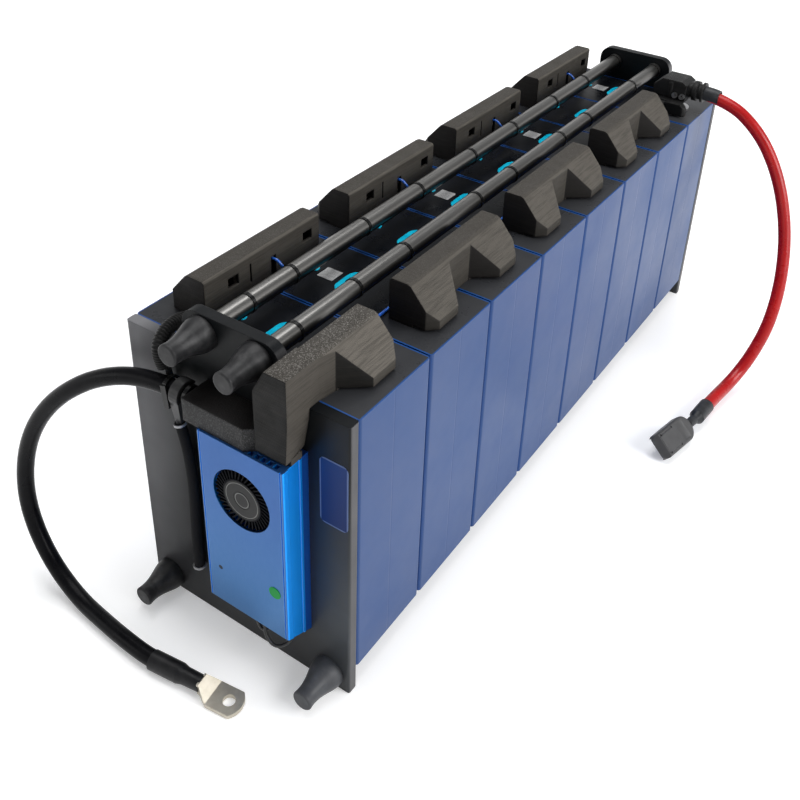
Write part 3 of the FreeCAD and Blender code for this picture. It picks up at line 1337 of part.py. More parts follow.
def build():
    os.makedirs("parts", exist_ok=True)
    negative_cable = tube(NEG_ROUTE, CABLE_RADIUS)
    positive_cable = tube(POS_ROUTE, CABLE_RADIUS)
    cells = range(1, CELL_COUNT + 1)
    for number in cells:
        save(f"cell_{number}", make_cell(number))
    save("cell_top_plates", [make_top_plate(n) for n in cells])
    save("cell_spacers", [make_spacer(n) for n in list(cells)[:-1]])
    save("cell_terminals", [make_terminal(s * TERMINAL_X, cell_y(n)) for n in cells for s in (-1, 1)])
    plugs = [cylinder_z(-PLUG_X, cell_y(n), PLUG_RADIUS, TOP, TOP + VENT_RISE) for n in cells]
    save("cell_vents", [make_vent(cell_y(n)) for n in cells] + plugs)
    save("cell_labels", [make_label(-LABEL_X, cell_y(n)) for n in cells if n % 2 == 0])
    joined = [(-1, n) for n in range(1, CELL_COUNT, 2)] + [(1, n) for n in range(2, CELL_COUNT - 1, 2)]
    save("busbars", [make_busbar(side, first) for side, first in joined])
    save("terminal_nuts", [make_terminal_nut(s * TERMINAL_X, cell_y(n)) for n in cells for s in (-1, 1)])

    plate = make_end_plate()
    save("front_end_plate", plate)
    save("rear_end_plate", mirror_in_stack(plate))
    save("tie_rods_top", [make_rod(x, z) for x, z in ROD_TOP_PLACES])
    save("tie_rods_bottom", [make_rod(x, z) for x, z in ROD_LOW_PLACES])
    save("rod_sleeves_top", [make_collared_sleeve(x, z) for x, z in ROD_TOP_PLACES])
    save("rod_sleeves_bottom", [make_sleeve(x, z) for x, z in ROD_LOW_PLACES])
    washers = [make_washer(x, z, WASHER_RADIUS, WASHER_THICK) for x, z in ROD_PLACES]
    rear_washers = [make_washer(x, z, REAR_WASHER_RADIUS, REAR_WASHER_THICK) for x, z in ROD_PLACES]
    save("rod_washers", washers + [mirror_in_stack(washer) for washer in rear_washers])
    nuts = [make_rod_nut(x, z, WASHER_THICK) for x, z in ROD_PLACES]
    rear_nuts = [make_rod_nut(x, z, REAR_WASHER_THICK) for x, z in ROD_PLACES]
    save("rod_nuts", nuts + [mirror_in_stack(nut) for nut in rear_nuts])
    save("rod_caps", [make_cap(x, z) for x, z in ROD_PLACES])
    ties = [make_rod_tie(-ROD_TOP_X, FRONT + y) for y in TIES_LEFT]
    ties += [make_rod_tie(ROD_TOP_X, FRONT + y) for y in TIES_RIGHT]
    save("rod_ties", ties)

    for step, first in enumerate(range(1, CELL_COUNT, 2), 1):
        save(f"cover_left_{step}", make_pair_cover(-1, first))
    for step, first in enumerate(range(2, CELL_COUNT - 1, 2), 1):
        save(f"cover_right_{step}", make_pair_cover(1, first))
    save("cover_negative", make_negative_cover())
    save("lead_cover", make_lead_cover().cut(negative_cable))
    save("positive_clamp_base", make_clamp_base())
    save("positive_clamp_lid", make_clamp_lid(positive_cable))
    save("positive_clamp_screws", make_clamp_screws())

    save("bms_housing", make_bms_housing())
    save("bms_base", make_bms_base())
    save("bms_board", make_bms_board())
    save("bms_sockets", make_bms_sockets())
    save("fan_frame", make_fan_frame())
    save("fan_stator", make_fan_stator())
    save("fan_rotor", make_fan_rotor())

    save("bms_tails", make_bms_tails())

    sleeve, rings = make_harness_sleeve()
    save("harness_sleeve", sleeve)
    save("harness_rings", rings)
    save("harness_strand", make_harness_strand())
    save("harness_conduit", make_harness_conduit())
    save("harness_ties", make_harness_ties(negative_cable))
    save("sense_wires", make_sense_wires())
    save("stickers", make_stickers())

    save("negative_cable", negative_cable)
    save("positive_cable", positive_cable)
    lug, shrink = make_negative_fittings(negative_cable)
    save("negative_lug", lug)
    save("negative_shrink", shrink)
    lug, shrinks, boot = make_positive_fittings(positive_cable)
    save("positive_lug", lug)
    save("positive_shrinks", shrinks)
    save("positive_boot", boot)
    for name, route in (("negative", NEG_ROUTE), ("positive", POS_ROUTE)):
        radii = [round(radius) for radius in route_radii(route)]
        print(f"{name} cable: length {route_wire(route).Length:.0f}, radii {radii}")


build()
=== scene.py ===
"""Looks of the battery pack: camera, light, materials and the soft or fine pieces."""
import bpy
import math
from mathutils import Matrix, Vector


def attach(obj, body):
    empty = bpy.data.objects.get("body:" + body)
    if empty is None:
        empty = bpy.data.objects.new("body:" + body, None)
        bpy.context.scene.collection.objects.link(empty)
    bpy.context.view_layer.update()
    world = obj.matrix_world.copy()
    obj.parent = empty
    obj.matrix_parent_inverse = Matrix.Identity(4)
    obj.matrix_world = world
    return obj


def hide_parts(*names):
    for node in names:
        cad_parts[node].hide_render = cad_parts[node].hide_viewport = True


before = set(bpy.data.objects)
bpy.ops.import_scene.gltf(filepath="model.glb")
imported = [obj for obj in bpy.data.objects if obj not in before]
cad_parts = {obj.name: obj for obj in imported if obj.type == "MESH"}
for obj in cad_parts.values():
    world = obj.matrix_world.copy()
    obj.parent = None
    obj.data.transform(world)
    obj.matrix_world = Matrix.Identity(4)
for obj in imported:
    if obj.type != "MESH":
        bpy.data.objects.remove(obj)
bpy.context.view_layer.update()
MM = 0.001

# The model's own grid, in millimetres
FRONT = -282.35  # first cell's front face
CELL_LOW = 18.8  # cell bottoms
TOP = 223.6  # cell tops
PITCH = 73.0  # from one cell to the next
CELL_SHARE = 0.982  # of the pitch, that a cell takes up
CABLE_DIAMETER = 11.5
FAN_X, FAN_Z = 24.2, 152.8  # the fan's middle


def at(x, y, z):
    """A point in metres, from the front cell's face (y) and the cell bottoms (z)."""
    return Vector((x * MM, (FRONT + y) * MM, (CELL_LOW + z) * MM))


def add_object(name, data):
    made = bpy.data.objects.new(name, data)
    bpy.context.scene.collection.objects.link(made)
    return made


# Camera

TURN, RISE, ROLL = math.radians(31.70), math.radians(29.48), math.radians(2.82)
AIM = at(-122.41, 398.76, 73.23)
DISTANCE = 1.0
FOCAL_PIXELS = 996.59
CENTRE_PIXEL = (427.0, 229.0)  # where the camera's own axis meets the picture
IMAGE_PIXELS = 800.0
SENSOR_WIDTH = 36.0
NEAR_CLIP = 0.01


def make_camera():
    back = Vector((math.sin(TURN) * math.cos(RISE), -math.cos(TURN) * math.cos(RISE), math.sin(RISE)))
    level = Vector((math.cos(TURN), math.sin(TURN), 0.0))
    upright = back.cross(level)
    right = level * math.cos(ROLL) + upright * math.sin(ROLL)
    up = upright * math.cos(ROLL) - level * math.sin(ROLL)
    lens = bpy.data.cameras.new("camera")
    lens.sensor_width = SENSOR_WIDTH
    lens.lens = FOCAL_PIXELS * SENSOR_WIDTH / IMAGE_PIXELS
    lens.shift_x = (IMAGE_PIXELS / 2 - CENTRE_PIXEL[0]) / IMAGE_PIXELS
    lens.shift_y = (CENTRE_PIXEL[1] - IMAGE_PIXELS / 2) / IMAGE_PIXELS
    lens.clip_start = NEAR_CLIP
    camera = add_object("camera", lens)
    turn = Matrix((right, up, back)).transposed().to_4x4()
    camera.matrix_world = Matrix.Translation(AIM + back * DISTANCE) @ turn
    return camera


bpy.context.scene.camera = make_camera()


# Material helpers

COAT_ROUGH = 0.1
BEVEL_SAMPLES = 4


def grey(value):
    return (value, value, value)


class Look:
    """One node material, with its texture coordinates in metres of the model."""

    def __init__(self, name, color, rough, metal=0.0, coat=0.0, ior=1.5):
        self.material = bpy.data.materials.new(name)
        self.material.use_nodes = True
        self.nodes = self.material.node_tree.nodes
        self.links = self.material.node_tree.links
        self.shader = self.nodes["Principled BSDF"]
        self.color = tuple(color) + (1.0,)
        self.set("Base Color", self.color)
        self.set("Roughness", rough)
        self.set("Metallic", metal)
        self.set("Coat Weight", coat)
        self.set("Coat Roughness", COAT_ROUGH)
        self.set("IOR", ior)
        self.place = self.nodes.new("ShaderNodeTexCoord").outputs["Object"]
        self.tint = None
        self.normal = None

    def set(self, socket, value):
        self.shader.inputs[socket].default_value = value

    def node(self, kind, **settings):
        made = self.nodes.new(kind)
        for key, value in settings.items():
            setattr(made, key, value)
        return made

    def join(self, source, target):
        self.links.new(source, target)

    def math(self, operation, *values):
        """One step of arithmetic on numbers and node outputs."""
        made = self.node("ShaderNodeMath", operation=operation)
        for slot, value in enumerate(values):
            if isinstance(value, (int, float)):
                made.inputs[slot].default_value = value
            else:
                self.join(value, made.inputs[slot])
        return made.outputs[0]

    def times(self, first, second):
        return self.math("MULTIPLY", first, second)

    def offset(self, value, middle):
        """How far a value lies from a middle, to either side."""
        return self.math("ABSOLUTE", self.math("SUBTRACT", value, middle))

    def radius(self, first, second, middle):
        """Distance from a middle across two axes."""
        squares = [
            self.math("POWER", self.math("SUBTRACT", value, centre), 2.0)
            for value, centre in zip((first, second), middle)
        ]
        return self.math("SQRT", self.math("ADD", *squares))

    def axes(self):
        split = self.node("ShaderNodeSeparateXYZ")
        self.join(self.place, split.inputs[0])
        return split.outputs

    def facing(self):
        """Parts of the surface's own direction along X, Y and Z."""
        split = self.node("ShaderNodeSeparateXYZ")
        self.join(self.node("ShaderNodeNewGeometry").outputs["Normal"], split.inputs[0])
        return split.outputs

    def ramp(self, value, low, high, from_value=0.0, to_value=1.0):
        made = self.node("ShaderNodeMapRange")
        made.inputs["From Min"].default_value = low
        made.inputs["From Max"].default_value = high
        made.inputs["To Min"].default_value = from_value
        made.inputs["To Max"].default_value = to_value
        self.join(value, made.inputs["Value"])
        return made.outputs[0]

    def span(self, value, low_mm, high_mm, from_value=0.0, to_value=1.0):
        """A ramp between two places, in millimetres."""
        return self.ramp(value, low_mm * MM, high_mm * MM, from_value, to_value)

    def noise(self, per_metre, detail=3.0, rough=0.55, stretch=None):
        made = self.node("ShaderNodeTexNoise")
        made.inputs["Scale"].default_value = per_metre
        made.inputs["Detail"].default_value = detail
        made.inputs["Roughness"].default_value = rough
        source = self.place
        if stretch:
            scaled = self.node("ShaderNodeMapping")
            scaled.inputs["Scale"].default_value = stretch
            self.join(source, scaled.inputs["Vector"])
            source = scaled.outputs[0]
        self.join(source, made.inputs["Vector"])
        return made.outputs["Fac"]

    def paint(self, amount, color):
        """Lay another colour over what is there, by a 0 to 1 amount."""
        made = self.node("ShaderNodeMix", data_type="RGBA")
        if self.tint is None:
            made.inputs["A"].default_value = self.color
        else:
            self.join(self.tint, made.inputs["A"])
        made.inputs["B"].default_value = tuple(color) + (1.0,)
        self.join(amount, made.inputs["Factor"])
        self.tint = made.outputs["Result"]
        self.join(self.tint, self.shader.inputs["Base Color"])
        return self

    def mottle(self, per_metre, color, reach=1.0, low=0.35, high=0.7):
        """Soft patches of another colour."""
        return self.paint(self.ramp(self.noise(per_metre), low, high, 0.0, reach), color)

    def gloss(self, per_metre, low, high, stretch=None):
        """Roughness that wanders between two values."""
        value = self.ramp(self.noise(per_metre, 4.0, 0.6, stretch), 0.3, 0.7, low, high)
        self.join(value, self.shader.inputs["Roughness"])
        return self

    def soften(self, radius_mm):
        """Round the edges in the shading."""
        made = self.node("ShaderNodeBevel", samples=BEVEL_SAMPLES)
        made.inputs["Radius"].default_value = radius_mm * MM
        self.normal = made.outputs[0]
        self.join(self.normal, self.shader.inputs["Normal"])
        return self

    def bump(self, height, depth_mm, strength=1.0):
        made = self.node("ShaderNodeBump")
        made.inputs["Strength"].default_value = strength
        made.inputs["Distance"].default_value = depth_mm * MM
        self.join(height, made.inputs["Height"])
        if self.normal is not None:
            self.join(self.normal, made.inputs["Normal"])
        self.normal = made.outputs[0]
        self.join(self.normal, self.shader.inputs["Normal"])
        return self

    def grain(self, per_metre, depth_mm, strength=1.0):
        """Fine uneven relief."""
        return self.bump(self.noise(per_metre), depth_mm, strength)

    def lines(self, along, pitch_mm):
        """A smooth 0 to 1 wave along one axis."""
        turns = self.times(along, 2 * math.pi / (pitch_mm * MM))
        return self.ramp(self.math("SINE", turns), -1.0, 1.0)


def dress(look, *names):
    """Give a material to every slot of the named nodes."""
    for name in names:
        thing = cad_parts[name]
        for slot in range(max(1, len(thing.data.materials))):
            if slot < len(thing.data.materials):
                thing.data.materials[slot] = look.material
            else:
                thing.data.materials.append(look.material)


# Cells

LAP_AT = 0.47  # the film's lap line, as a share of the pitch


def film_look():
    """Blue shrink film, with a painted highlight where it folds over the edges and along its top lip,
    and a lap line down each side.
    """
    look = Look("cell_film", (0.01, 0.046, 0.162), 0.36, ior=1.36)
    look.mottle(7.0, (0.013, 0.054, 0.182), 0.8)
    _, y, z = look.axes()
    step = look.math("FRACT", look.math("DIVIDE", look.math("SUBTRACT", y, FRONT * MM), PITCH * MM))
    lap = look.offset(step, LAP_AT)
    look.paint(look.ramp(lap, 0.0, 0.01, 0.3, 0.0), (0.008, 0.025, 0.12))
    edge = look.math("MINIMUM", step, look.math("SUBTRACT", CELL_SHARE, step))
    # Painted highlight: brighter, richer blue near each cell's front and back edges, where the film
    # folds round.
    look.paint(look.ramp(edge, 0.006, 0.02, 0.35, 0.0), (0.008, 0.07, 0.3))
    # Painted highlight: brighter blue along the top lip, just under the cell top.
    look.paint(look.span(z, TOP - 1.0, TOP - 0.3, 0.0, 0.8), (0.004, 0.05, 0.2))
    look.gloss(14.0, 0.3, 0.44)
    look.bump(look.noise(7.0, 2.0, 0.5, (0.4, 2.2, 0.25)), 0.8, 0.25)
    look.bump(look.noise(70.0, 2.0, 0.5, (1.0, 1.0, 0.3)), 0.06, 0.3)
    look.bump(look.ramp(lap, 0.0, 0.01), 0.2, 0.5)
    return look


def top_look():
    """Black plastic, greyer towards the cells' narrow sides."""
    look = Look("cell_top_plastic", (0.003, 0.004, 0.006), 0.3, ior=1.3)
    look.mottle(40.0, (0.008, 0.009, 0.012), 0.8)
    outward = look.math("ABSOLUTE", look.axes()[0])
    look.paint(look.span(outward, 40.0, 62.0, 0.0, 0.8), (0.034, 0.035, 0.038))
    return look.gloss(35.0, 0.2, 0.42).grain(900.0, 0.04)


cells = [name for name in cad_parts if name.startswith("cell_") and name[5:].isdigit()]
dress(film_look(), *cells)
dress(top_look(), "cell_top_plates")
vents = Look("vent_film", (0.0, 0.4, 0.62), 0.2).mottle(120.0, (0.02, 0.6, 0.8), 0.7)
dress(vents.grain(260.0, 0.12), "cell_vents")
labels = Look("label_paper", grey(0.42), 0.6).mottle(1400.0, grey(0.6), 1.0, 0.45, 0.55)
dress(labels, "cell_labels")
spacers = Look("spacer_sheet", (0.03, 0.032, 0.035), 0.6).mottle(150.0, grey(0.06))
dress(spacers.grain(800.0, 0.05), "cell_spacers")
pads = Look("terminal_alloy", (0.62, 0.62, 0.63), 0.35, metal=1.0).gloss(400.0, 0.28, 0.5)
dress(pads.grain(1500.0, 0.02), "cell_terminals")
bars = Look("busbar_alloy", (0.58, 0.57, 0.55), 0.4, metal=1.0).gloss(200.0, 0.3, 0.5, (1.0, 8.0, 1.0))
dress(bars.bump(bars.noise(600.0, 3.0, 0.6, (1.0, 9.0, 1.0)), 0.03), "busbars")


# Plates, rods and caps

THREAD_PITCH = 1.25


def plate_look():
    """Satin black lacquer, with a painted reflection greyer towards its left side and its lower right,
    a painted highlight on its right edge faces, and lighter towards the bottom.
    """
    look = Look("plate_lacquer", (0.002, 0.003, 0.004), 0.4, ior=1.25)
    x, _, z = look.axes()
    # Painted reflection: greyer towards the left side, more so higher up.
    left = look.span(x, -78.0, -44.0, 1.0, 0.0)
    look.paint(look.times(left, look.span(z, 60.0, 190.0, 0.5, 1.0)), (0.17, 0.17, 0.178))
    # Painted reflection: greyer towards the lower right, beside the unit.
    lower_right_reflection = look.times(look.span(x, 40.0, 88.0), look.span(z, 190.0, 60.0))
    look.paint(lower_right_reflection, (0.085, 0.095, 0.103))
    look.paint(look.span(z, 70.0, 25.0, 0.0, 0.6), (0.03, 0.03, 0.032))
    # Painted highlight: lighter on the faces turned to +X, the plate's right edge.
    look.paint(look.ramp(look.facing()[0], 0.7, 0.95), (0.085, 0.084, 0.087))
    look.mottle(18.0, (0.02, 0.02, 0.021), 0.3).gloss(30.0, 0.34, 0.48)
    return look.soften(0.9).bump(look.noise(1400.0, 4.0), 0.05, 0.7)


def steel_look(name, color):
    look = Look(name, color, 0.32, metal=1.0)
    return look.mottle(250.0, (0.36, 0.36, 0.37), 0.6).gloss(300.0, 0.25, 0.45)


def sleeve_look():
    """Satin tube, with painted shade underneath and a painted highlight along its top."""
    look = Look("sleeve_satin", (0.17, 0.166, 0.158), 0.3, metal=0.95)
    look.mottle(30.0, (0.14, 0.136, 0.128), 0.7).gloss(60.0, 0.27, 0.33, (1.0, 0.06, 1.0))
    upward = look.facing()[2]
    # Painted shade: darker on the lower half of the tube.
    look.paint(look.ramp(upward, 0.0, 0.5, 0.9, 0.0), (0.012, 0.012, 0.013))
    # Painted highlight: paler on the faces turned up.
    look.paint(look.ramp(upward, 0.75, 0.95, 0.0, 0.7), (0.26, 0.255, 0.245))
    return look.bump(look.noise(900.0, 2.0, 0.5, (1.0, 0.04, 1.0)), 0.006, 0.3)


def cap_look():
    """Black rubber, with a painted highlight on the lower right cap."""
    look = Look("cap_rubber", (0.01, 0.01, 0.011), 0.45, ior=1.35)
    look.mottle(110.0, (0.05, 0.05, 0.051), 0.8, 0.45, 0.75)
    x, _, z = look.axes()
    # Painted highlight: paler bluish grey on the lower right cap.
    lower_right_highlight = look.times(look.span(z, 110.0, 90.0, 0.0, 0.35), look.span(x, 0.0, 50.0))
    look.paint(lower_right_highlight, (0.12, 0.126, 0.14))
    return look.gloss(90.0, 0.36, 0.55).soften(0.8).grain(500.0, 0.04)


dress(plate_look(), "front_end_plate", "rear_end_plate")
rods = steel_look("rod_steel", (0.5, 0.5, 0.51))
dress(rods.bump(rods.lines(rods.axes()[1], THREAD_PITCH), 0.35, 0.9), "tie_rods_top", "tie_rods_bottom")
zinc = steel_look("fastener_zinc", (0.52, 0.52, 0.53))
dress(zinc, "rod_nuts", "rod_washers", "terminal_nuts", "positive_clamp_screws")
dress(sleeve_look(), "rod_sleeves_top", "rod_sleeves_bottom")
dress(cap_look(), "rod_caps")
ties = Look("tie_nylon", grey(0.003), 0.2, ior=1.3).mottle(300.0, grey(0.007))
dress(ties.bump(ties.lines(ties.axes()[1], 0.9), 0.1, 0.4), "rod_ties", "harness_ties")


# Covers

LAYER_PITCH = 0.9
# COVER_FRONT, and BLACK where it is the front cover's front colour, are painted shade for faces turned
# to -Y.
COVER_TOP, COVER_SIDE, COVER_FRONT = (0.036, 0.032, 0.027), (0.05, 0.045, 0.038), (0.005, 0.004, 0.004)
WARM_TOP, WARM_SIDE, WARM_SPECK = (0.035, 0.031, 0.026), (0.066, 0.059, 0.05), (0.2, 0.19, 0.175)
LEAD_TOP, GREY_SPECK = (0.004, 0.003, 0.003), (0.09, 0.09, 0.092)
BLACK = grey(0.003)


def shade_of(color, factor):
    """The same colour, darker or lighter."""
    return [value * factor for value in color]


def printed_look(name, top, side, front, rough, sand, speck_color, sandy_front=False):
    """Moulded in fine layers: sandy on top, faint layer lines on walls and slopes, painted light on
    slopes towards +X, and the front colour on faces turned to -Y, a painted shade on the covers.
    """
    look = Look(name, side, rough, ior=1.3)
    facing = look.facing()
    upward = look.ramp(facing[2], 0.75, 0.95)
    not_upward = look.math("SUBTRACT", 1.0, upward)
    forward = look.ramp(facing[1], -0.8, -0.6, 1.0, 0.0)
    look.mottle(14.0, shade_of(side, 0.75), 0.5)
    # Painted light: faces sloping up towards +X get a lighter copy of the side colour.
    sloped = look.times(look.ramp(facing[2], 0.25, 0.4), look.ramp(facing[0], 0.2, 0.4))
    look.paint(look.times(sloped, 0.8), shade_of(side, 1.5))
    # Painted shade on the pair covers and the front cover: faces turned to -Y get the dark front
    # colour.
    look.paint(forward, front)
    look.paint(upward, top)
    strata = look.noise(1000.0, 3.0, 0.7, (0.04, 0.04, 1.0))
    shade = look.times(look.ramp(strata, 0.45, 0.62), not_upward)
    look.paint(look.times(shade, 0.45), shade_of(side, 0.3))
    sandy = forward if sandy_front else upward
    speck = look.times(look.ramp(look.noise(1300.0, 2.0, 0.7), 0.52, 0.64), sandy)
    look.paint(look.times(speck, sand), speck_color)
    look.gloss(60.0, rough - 0.08, rough + 0.1).soften(2.0)
    look.bump(look.times(look.lines(look.axes()[2], LAYER_PITCH), not_upward), 0.1, 0.7)
    sand_relief = look.times(look.noise(1100.0, 3.0, 0.7), look.ramp(upward, 0.0, 1.0, 0.25, 1.0))
    return look.bump(sand_relief, 0.35, 0.8)


pair_covers = [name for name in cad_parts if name.startswith(("cover_left", "cover_right"))]
dress(
    printed_look("cover_print", COVER_TOP, COVER_SIDE, COVER_FRONT, 0.62, 0.15, WARM_SPECK),
    *pair_covers,
)
dress(
    printed_look("front_cover_print", WARM_TOP, WARM_SIDE, BLACK, 0.62, 0.75, WARM_SPECK),
    "cover_negative",
)
dress(
    printed_look("lead_print", LEAD_TOP, grey(0.012), grey(0.016), 0.5, 0.7, GREY_SPECK, True),
    "lead_cover",
)
dress(
    printed_look("clamp_print", BLACK, grey(0.006), grey(0.006), 0.42, 0.1, GREY_SPECK),
    "positive_clamp_base",
    "positive_clamp_lid",
)


# Management unit

FAN_MIDDLE = (FAN_X * MM, FAN_Z * MM)
PORT_MIDDLE = (2.8 * MM, (CELL_LOW + 65.3) * MM)


def anodised_look(name, color, side_color, rough):
    """Blasted and dyed alloy with a fine grain, with a brighter lit colour painted on its sides."""
    look = Look(name, color, rough, metal=0.7)
    look.mottle(25.0, shade_of(color, 1.15), 0.5)
    # Painted light: faces turned to +X or -X get the brighter, richer side colour.
    look.paint(look.ramp(look.math("ABSOLUTE", look.facing()[0]), 0.6, 0.85), side_color)
    look.gloss(500.0, rough - 0.03, rough + 0.05, (1.0, 1.0, 0.4)).soften(0.5)
    return look.bump(look.noise(2200.0, 3.0, 0.6), 0.03, 0.4)


def housing_look():
    """The dyed alloy, with a painted reflection low down on its face, a painted highlight along the
    rim, and painted shade in the fan's well and on the small port.
    """
    look = anodised_look("unit_anodised", (0.03, 0.11, 0.33), (0.0, 0.32, 1.0), 0.36)
    x, _, z = look.axes()
    forward = look.ramp(look.facing()[1], -0.97, -0.9, 1.0, 0.0)
    # Painted reflection: paler, greyer blue low down on the face.
    look.paint(look.times(forward, look.span(z, 160.0, 75.0, 0.0, 0.5)), (0.06, 0.22, 0.46))
    # Painted highlight: a pale line along the face's left and right edges.
    rim = look.span(look.offset(x, FAN_X * MM), 29.6, 30.2, 0.0, 0.35)
    look.paint(look.times(rim, forward), (0.12, 0.3, 0.6))
    # Painted shade: near black inside the fan's well.
    look.paint(look.span(look.radius(x, z, FAN_MIDDLE), 21.8, 22.1, 1.0, 0.0), (0.0, 0.004, 0.012))
    # Painted shade: a dark disc standing in for the shade in the small port's hole.
    look.paint(look.span(look.radius(x, z, PORT_MIDDLE), 1.5, 1.8, 1.0, 0.0), (0.0, 0.003, 0.01))
    return look


def fan_look():
    """Black wheel with a greyer hub and two fine rings of painted highlight on it."""
    look = Look("fan_plastic", (0.0015, 0.002, 0.004), 0.6, ior=1.15)
    x, _, z = look.axes()
    radius = look.radius(x, z, FAN_MIDDLE)
    look.paint(look.span(radius, 13.6, 14.0, 1.0, 0.0), grey(0.06))
    # Painted highlight: two thin bright rings on the hub.
    for ring in (5.1, 12.4):
        look.paint(look.span(look.offset(radius, ring * MM), 0.15, 0.4, 0.8, 0.0), (0.3, 0.3, 0.29))
    return look.gloss(150.0, 0.5, 0.65).grain(1500.0, 0.04)


dress(housing_look(), "bms_housing")
dress(anodised_look("unit_base", (0.008, 0.06, 0.28), (0.003, 0.1, 0.5), 0.4), "bms_base")
board = Look("board_lacquer", (0.004, 0.05, 0.02), 0.35, coat=0.4).mottle(300.0, (0.01, 0.09, 0.04))
dress(board.grain(500.0, 0.1), "bms_board")
sockets = Look("socket_nylon", (0.55, 0.54, 0.5), 0.45).mottle(200.0, (0.48, 0.47, 0.43))
dress(sockets.grain(900.0, 0.05), "bms_sockets")
dress(fan_look(), "fan_rotor", "fan_frame")
coil = Look("coil_copper", (0.5, 0.2, 0.08), 0.35, metal=1.0).gloss(300.0, 0.25, 0.45)
dress(coil.bump(coil.lines(coil.axes()[1], 0.6), 0.15, 0.8), "fan_stator")


# Harness, wires and stickers

BRAID_PITCH = 1.1
STICKER_X, STICKER_Z = 75.2, CELL_LOW + 149.75
STICKER_LOW, STICKER_HIGH = CELL_LOW + 124.5, CELL_LOW + 175


def braid_look():
    """Black weave of two slanting sets of threads."""
    look = Look("braid_weave", (0.004, 0.004, 0.005), 0.8, ior=1.25)
    x, _, z = look.axes()
    rising = look.lines(look.math("ADD", z, x), BRAID_PITCH)
    falling = look.lines(look.math("SUBTRACT", z, x), BRAID_PITCH)
    weave = look.math("MAXIMUM", rising, falling)
    look.paint(look.times(weave, 0.5), (0.018, 0.018, 0.019))
    return look.bump(weave, 0.35, 0.8)


def sticker_look():
    """Bare printed film: deep blue with a pale rim, and a green dot on the unit."""
    look = Look("sticker_film", (0.004, 0.018, 0.1), 0.4, ior=1.25)
    x, _, z = look.axes()
    look.paint(look.times(look.span(z, STICKER_LOW, STICKER_HIGH), 0.5), (0.012, 0.05, 0.22))
    across = look.span(look.offset(x, STICKER_X * MM), 9.2, 9.4)
    along = look.span(look.offset(z, STICKER_Z * MM), 24.2, 24.4)
    look.paint(look.times(look.math("MAXIMUM", across, along), 0.45), (0.25, 0.33, 0.55))
    look.paint(look.span(z, 108.5, 108.0), (0.004, 0.3, 0.05))
    return look.grain(300.0, 0.05, 0.4)


dress(braid_look(), "harness_sleeve")
rings = Look("ring_metal", grey(0.35), 0.5, metal=0.5).mottle(400.0, (0.35, 0.35, 0.36))
dress(rings.grain(900.0, 0.05), "harness_rings")
strand = Look("strand_tape", grey(0.02), 0.45, ior=1.4).mottle(220.0, (0.008, 0.008, 0.009))
strand.soften(0.6)
dress(strand.bump(strand.lines(strand.axes()[2], 2.4), 0.12, 0.5), "harness_strand")
tails = Look("tail_sheath", grey(0.012), 0.35).mottle(200.0, grey(0.02))
dress(tails.grain(500.0, 0.05), "bms_tails")
wires = Look("wire_sheath", (0.012, 0.09, 0.45), 0.3, coat=0.4).mottle(150.0, (0.02, 0.12, 0.5))
dress(wires.grain(400.0, 0.05), "sense_wires")
dress(sticker_look(), "stickers")


# Cables

CABLE_STEPS, CABLE_BEVEL_STEPS = 16, 10
NEGATIVE_ROUTE = [
    at(-18.0, -19.1, 181.6),
    at(-52.0, -19.6, 182.8),
    at(-90.0, -28.0, 173.0),
    at(-124.0, -38.0, 148.0),
    at(-149.0, -44.5, 114.0),
    at(-162.0, -49.0, 75.0),
    at(-161.5, -52.5, 37.0),
    at(-143.0, -56.0, 5.2),
    at(-111.5, -59.5, -12.8),
    at(-76.0, -63.2, -12.8),
    at(-52.0, -64.9, -12.5),
    at(-31.19, -65.33, -12.05),
    at(-11.36, -62.72, -12.05),
]
POSITIVE_ROUTE = [
    at(66.0, 546.0, 226.3),
    at(107.0, 546.0, 225.6),
    at(144.0, 542.5, 203.7),
    at(170.5, 537.0, 169.2),
    at(189.0, 528.5, 126.2),
    at(200.0, 511.0, 85.0),
    at(203.5, 489.0, 46.0),
    at(197.5, 472.0, 14.0),
    at(189.0, 452.0, -7.0),
    at(182.67, 406.40, -6.5),
    at(180.4, 380.5, -6.5),
]


def route_curve(name, route, steps):
    """A smooth curve with the route's points as its control points."""
    curve = bpy.data.curves.new(name, "CURVE")
    curve.dimensions = "3D"
    spline = curve.splines.new("NURBS")
    spline.points.add(len(route) - 1)
    for point, place in zip(spline.points, route):
        point.co = (*place, 1.0)
    spline.order_u = 3
    spline.use_endpoint_u = True
    spline.resolution_u = steps
    return curve


def make_cable(name, route, look):
    curve = route_curve(name, route, CABLE_STEPS)
    curve.bevel_depth = CABLE_DIAMETER / 2 * MM
    curve.bevel_resolution = CABLE_BEVEL_STEPS
    curve.use_fill_caps = True
    curve.materials.append(look.material)
    cable = add_object(name, curve)
    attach(cable, "pack")
    return cable


black_sheath = Look("cable_sheath_black", (0.003, 0.003, 0.004), 0.3, ior=1.17)
black_sheath.mottle(90.0, (0.006, 0.006, 0.007), 0.8).gloss(70.0, 0.24, 0.34).grain(700.0, 0.05, 0.6)
red_sheath = Look("cable_sheath_red", (0.33, 0.004, 0.005), 0.26, ior=1.4)
red_sheath.mottle(50.0, (0.4, 0.007, 0.007), 0.8).gloss(60.0, 0.2, 0.34).grain(500.0, 0.05, 0.6)
for name, color, worn, node in (
    ("shrink_film_black", (0.004, 0.004, 0.005), (0.012, 0.012, 0.013), "negative_shrink"),
    ("shrink_film_grey", (0.014, 0.015, 0.017), (0.035, 0.037, 0.04), "positive_shrinks"),
):
    shrink = Look(name, color, 0.4, ior=1.35).mottle(160.0, worn, 0.8)
    dress(shrink.gloss(120.0, 0.34, 0.5).grain(350.0, 0.12, 0.7), node)
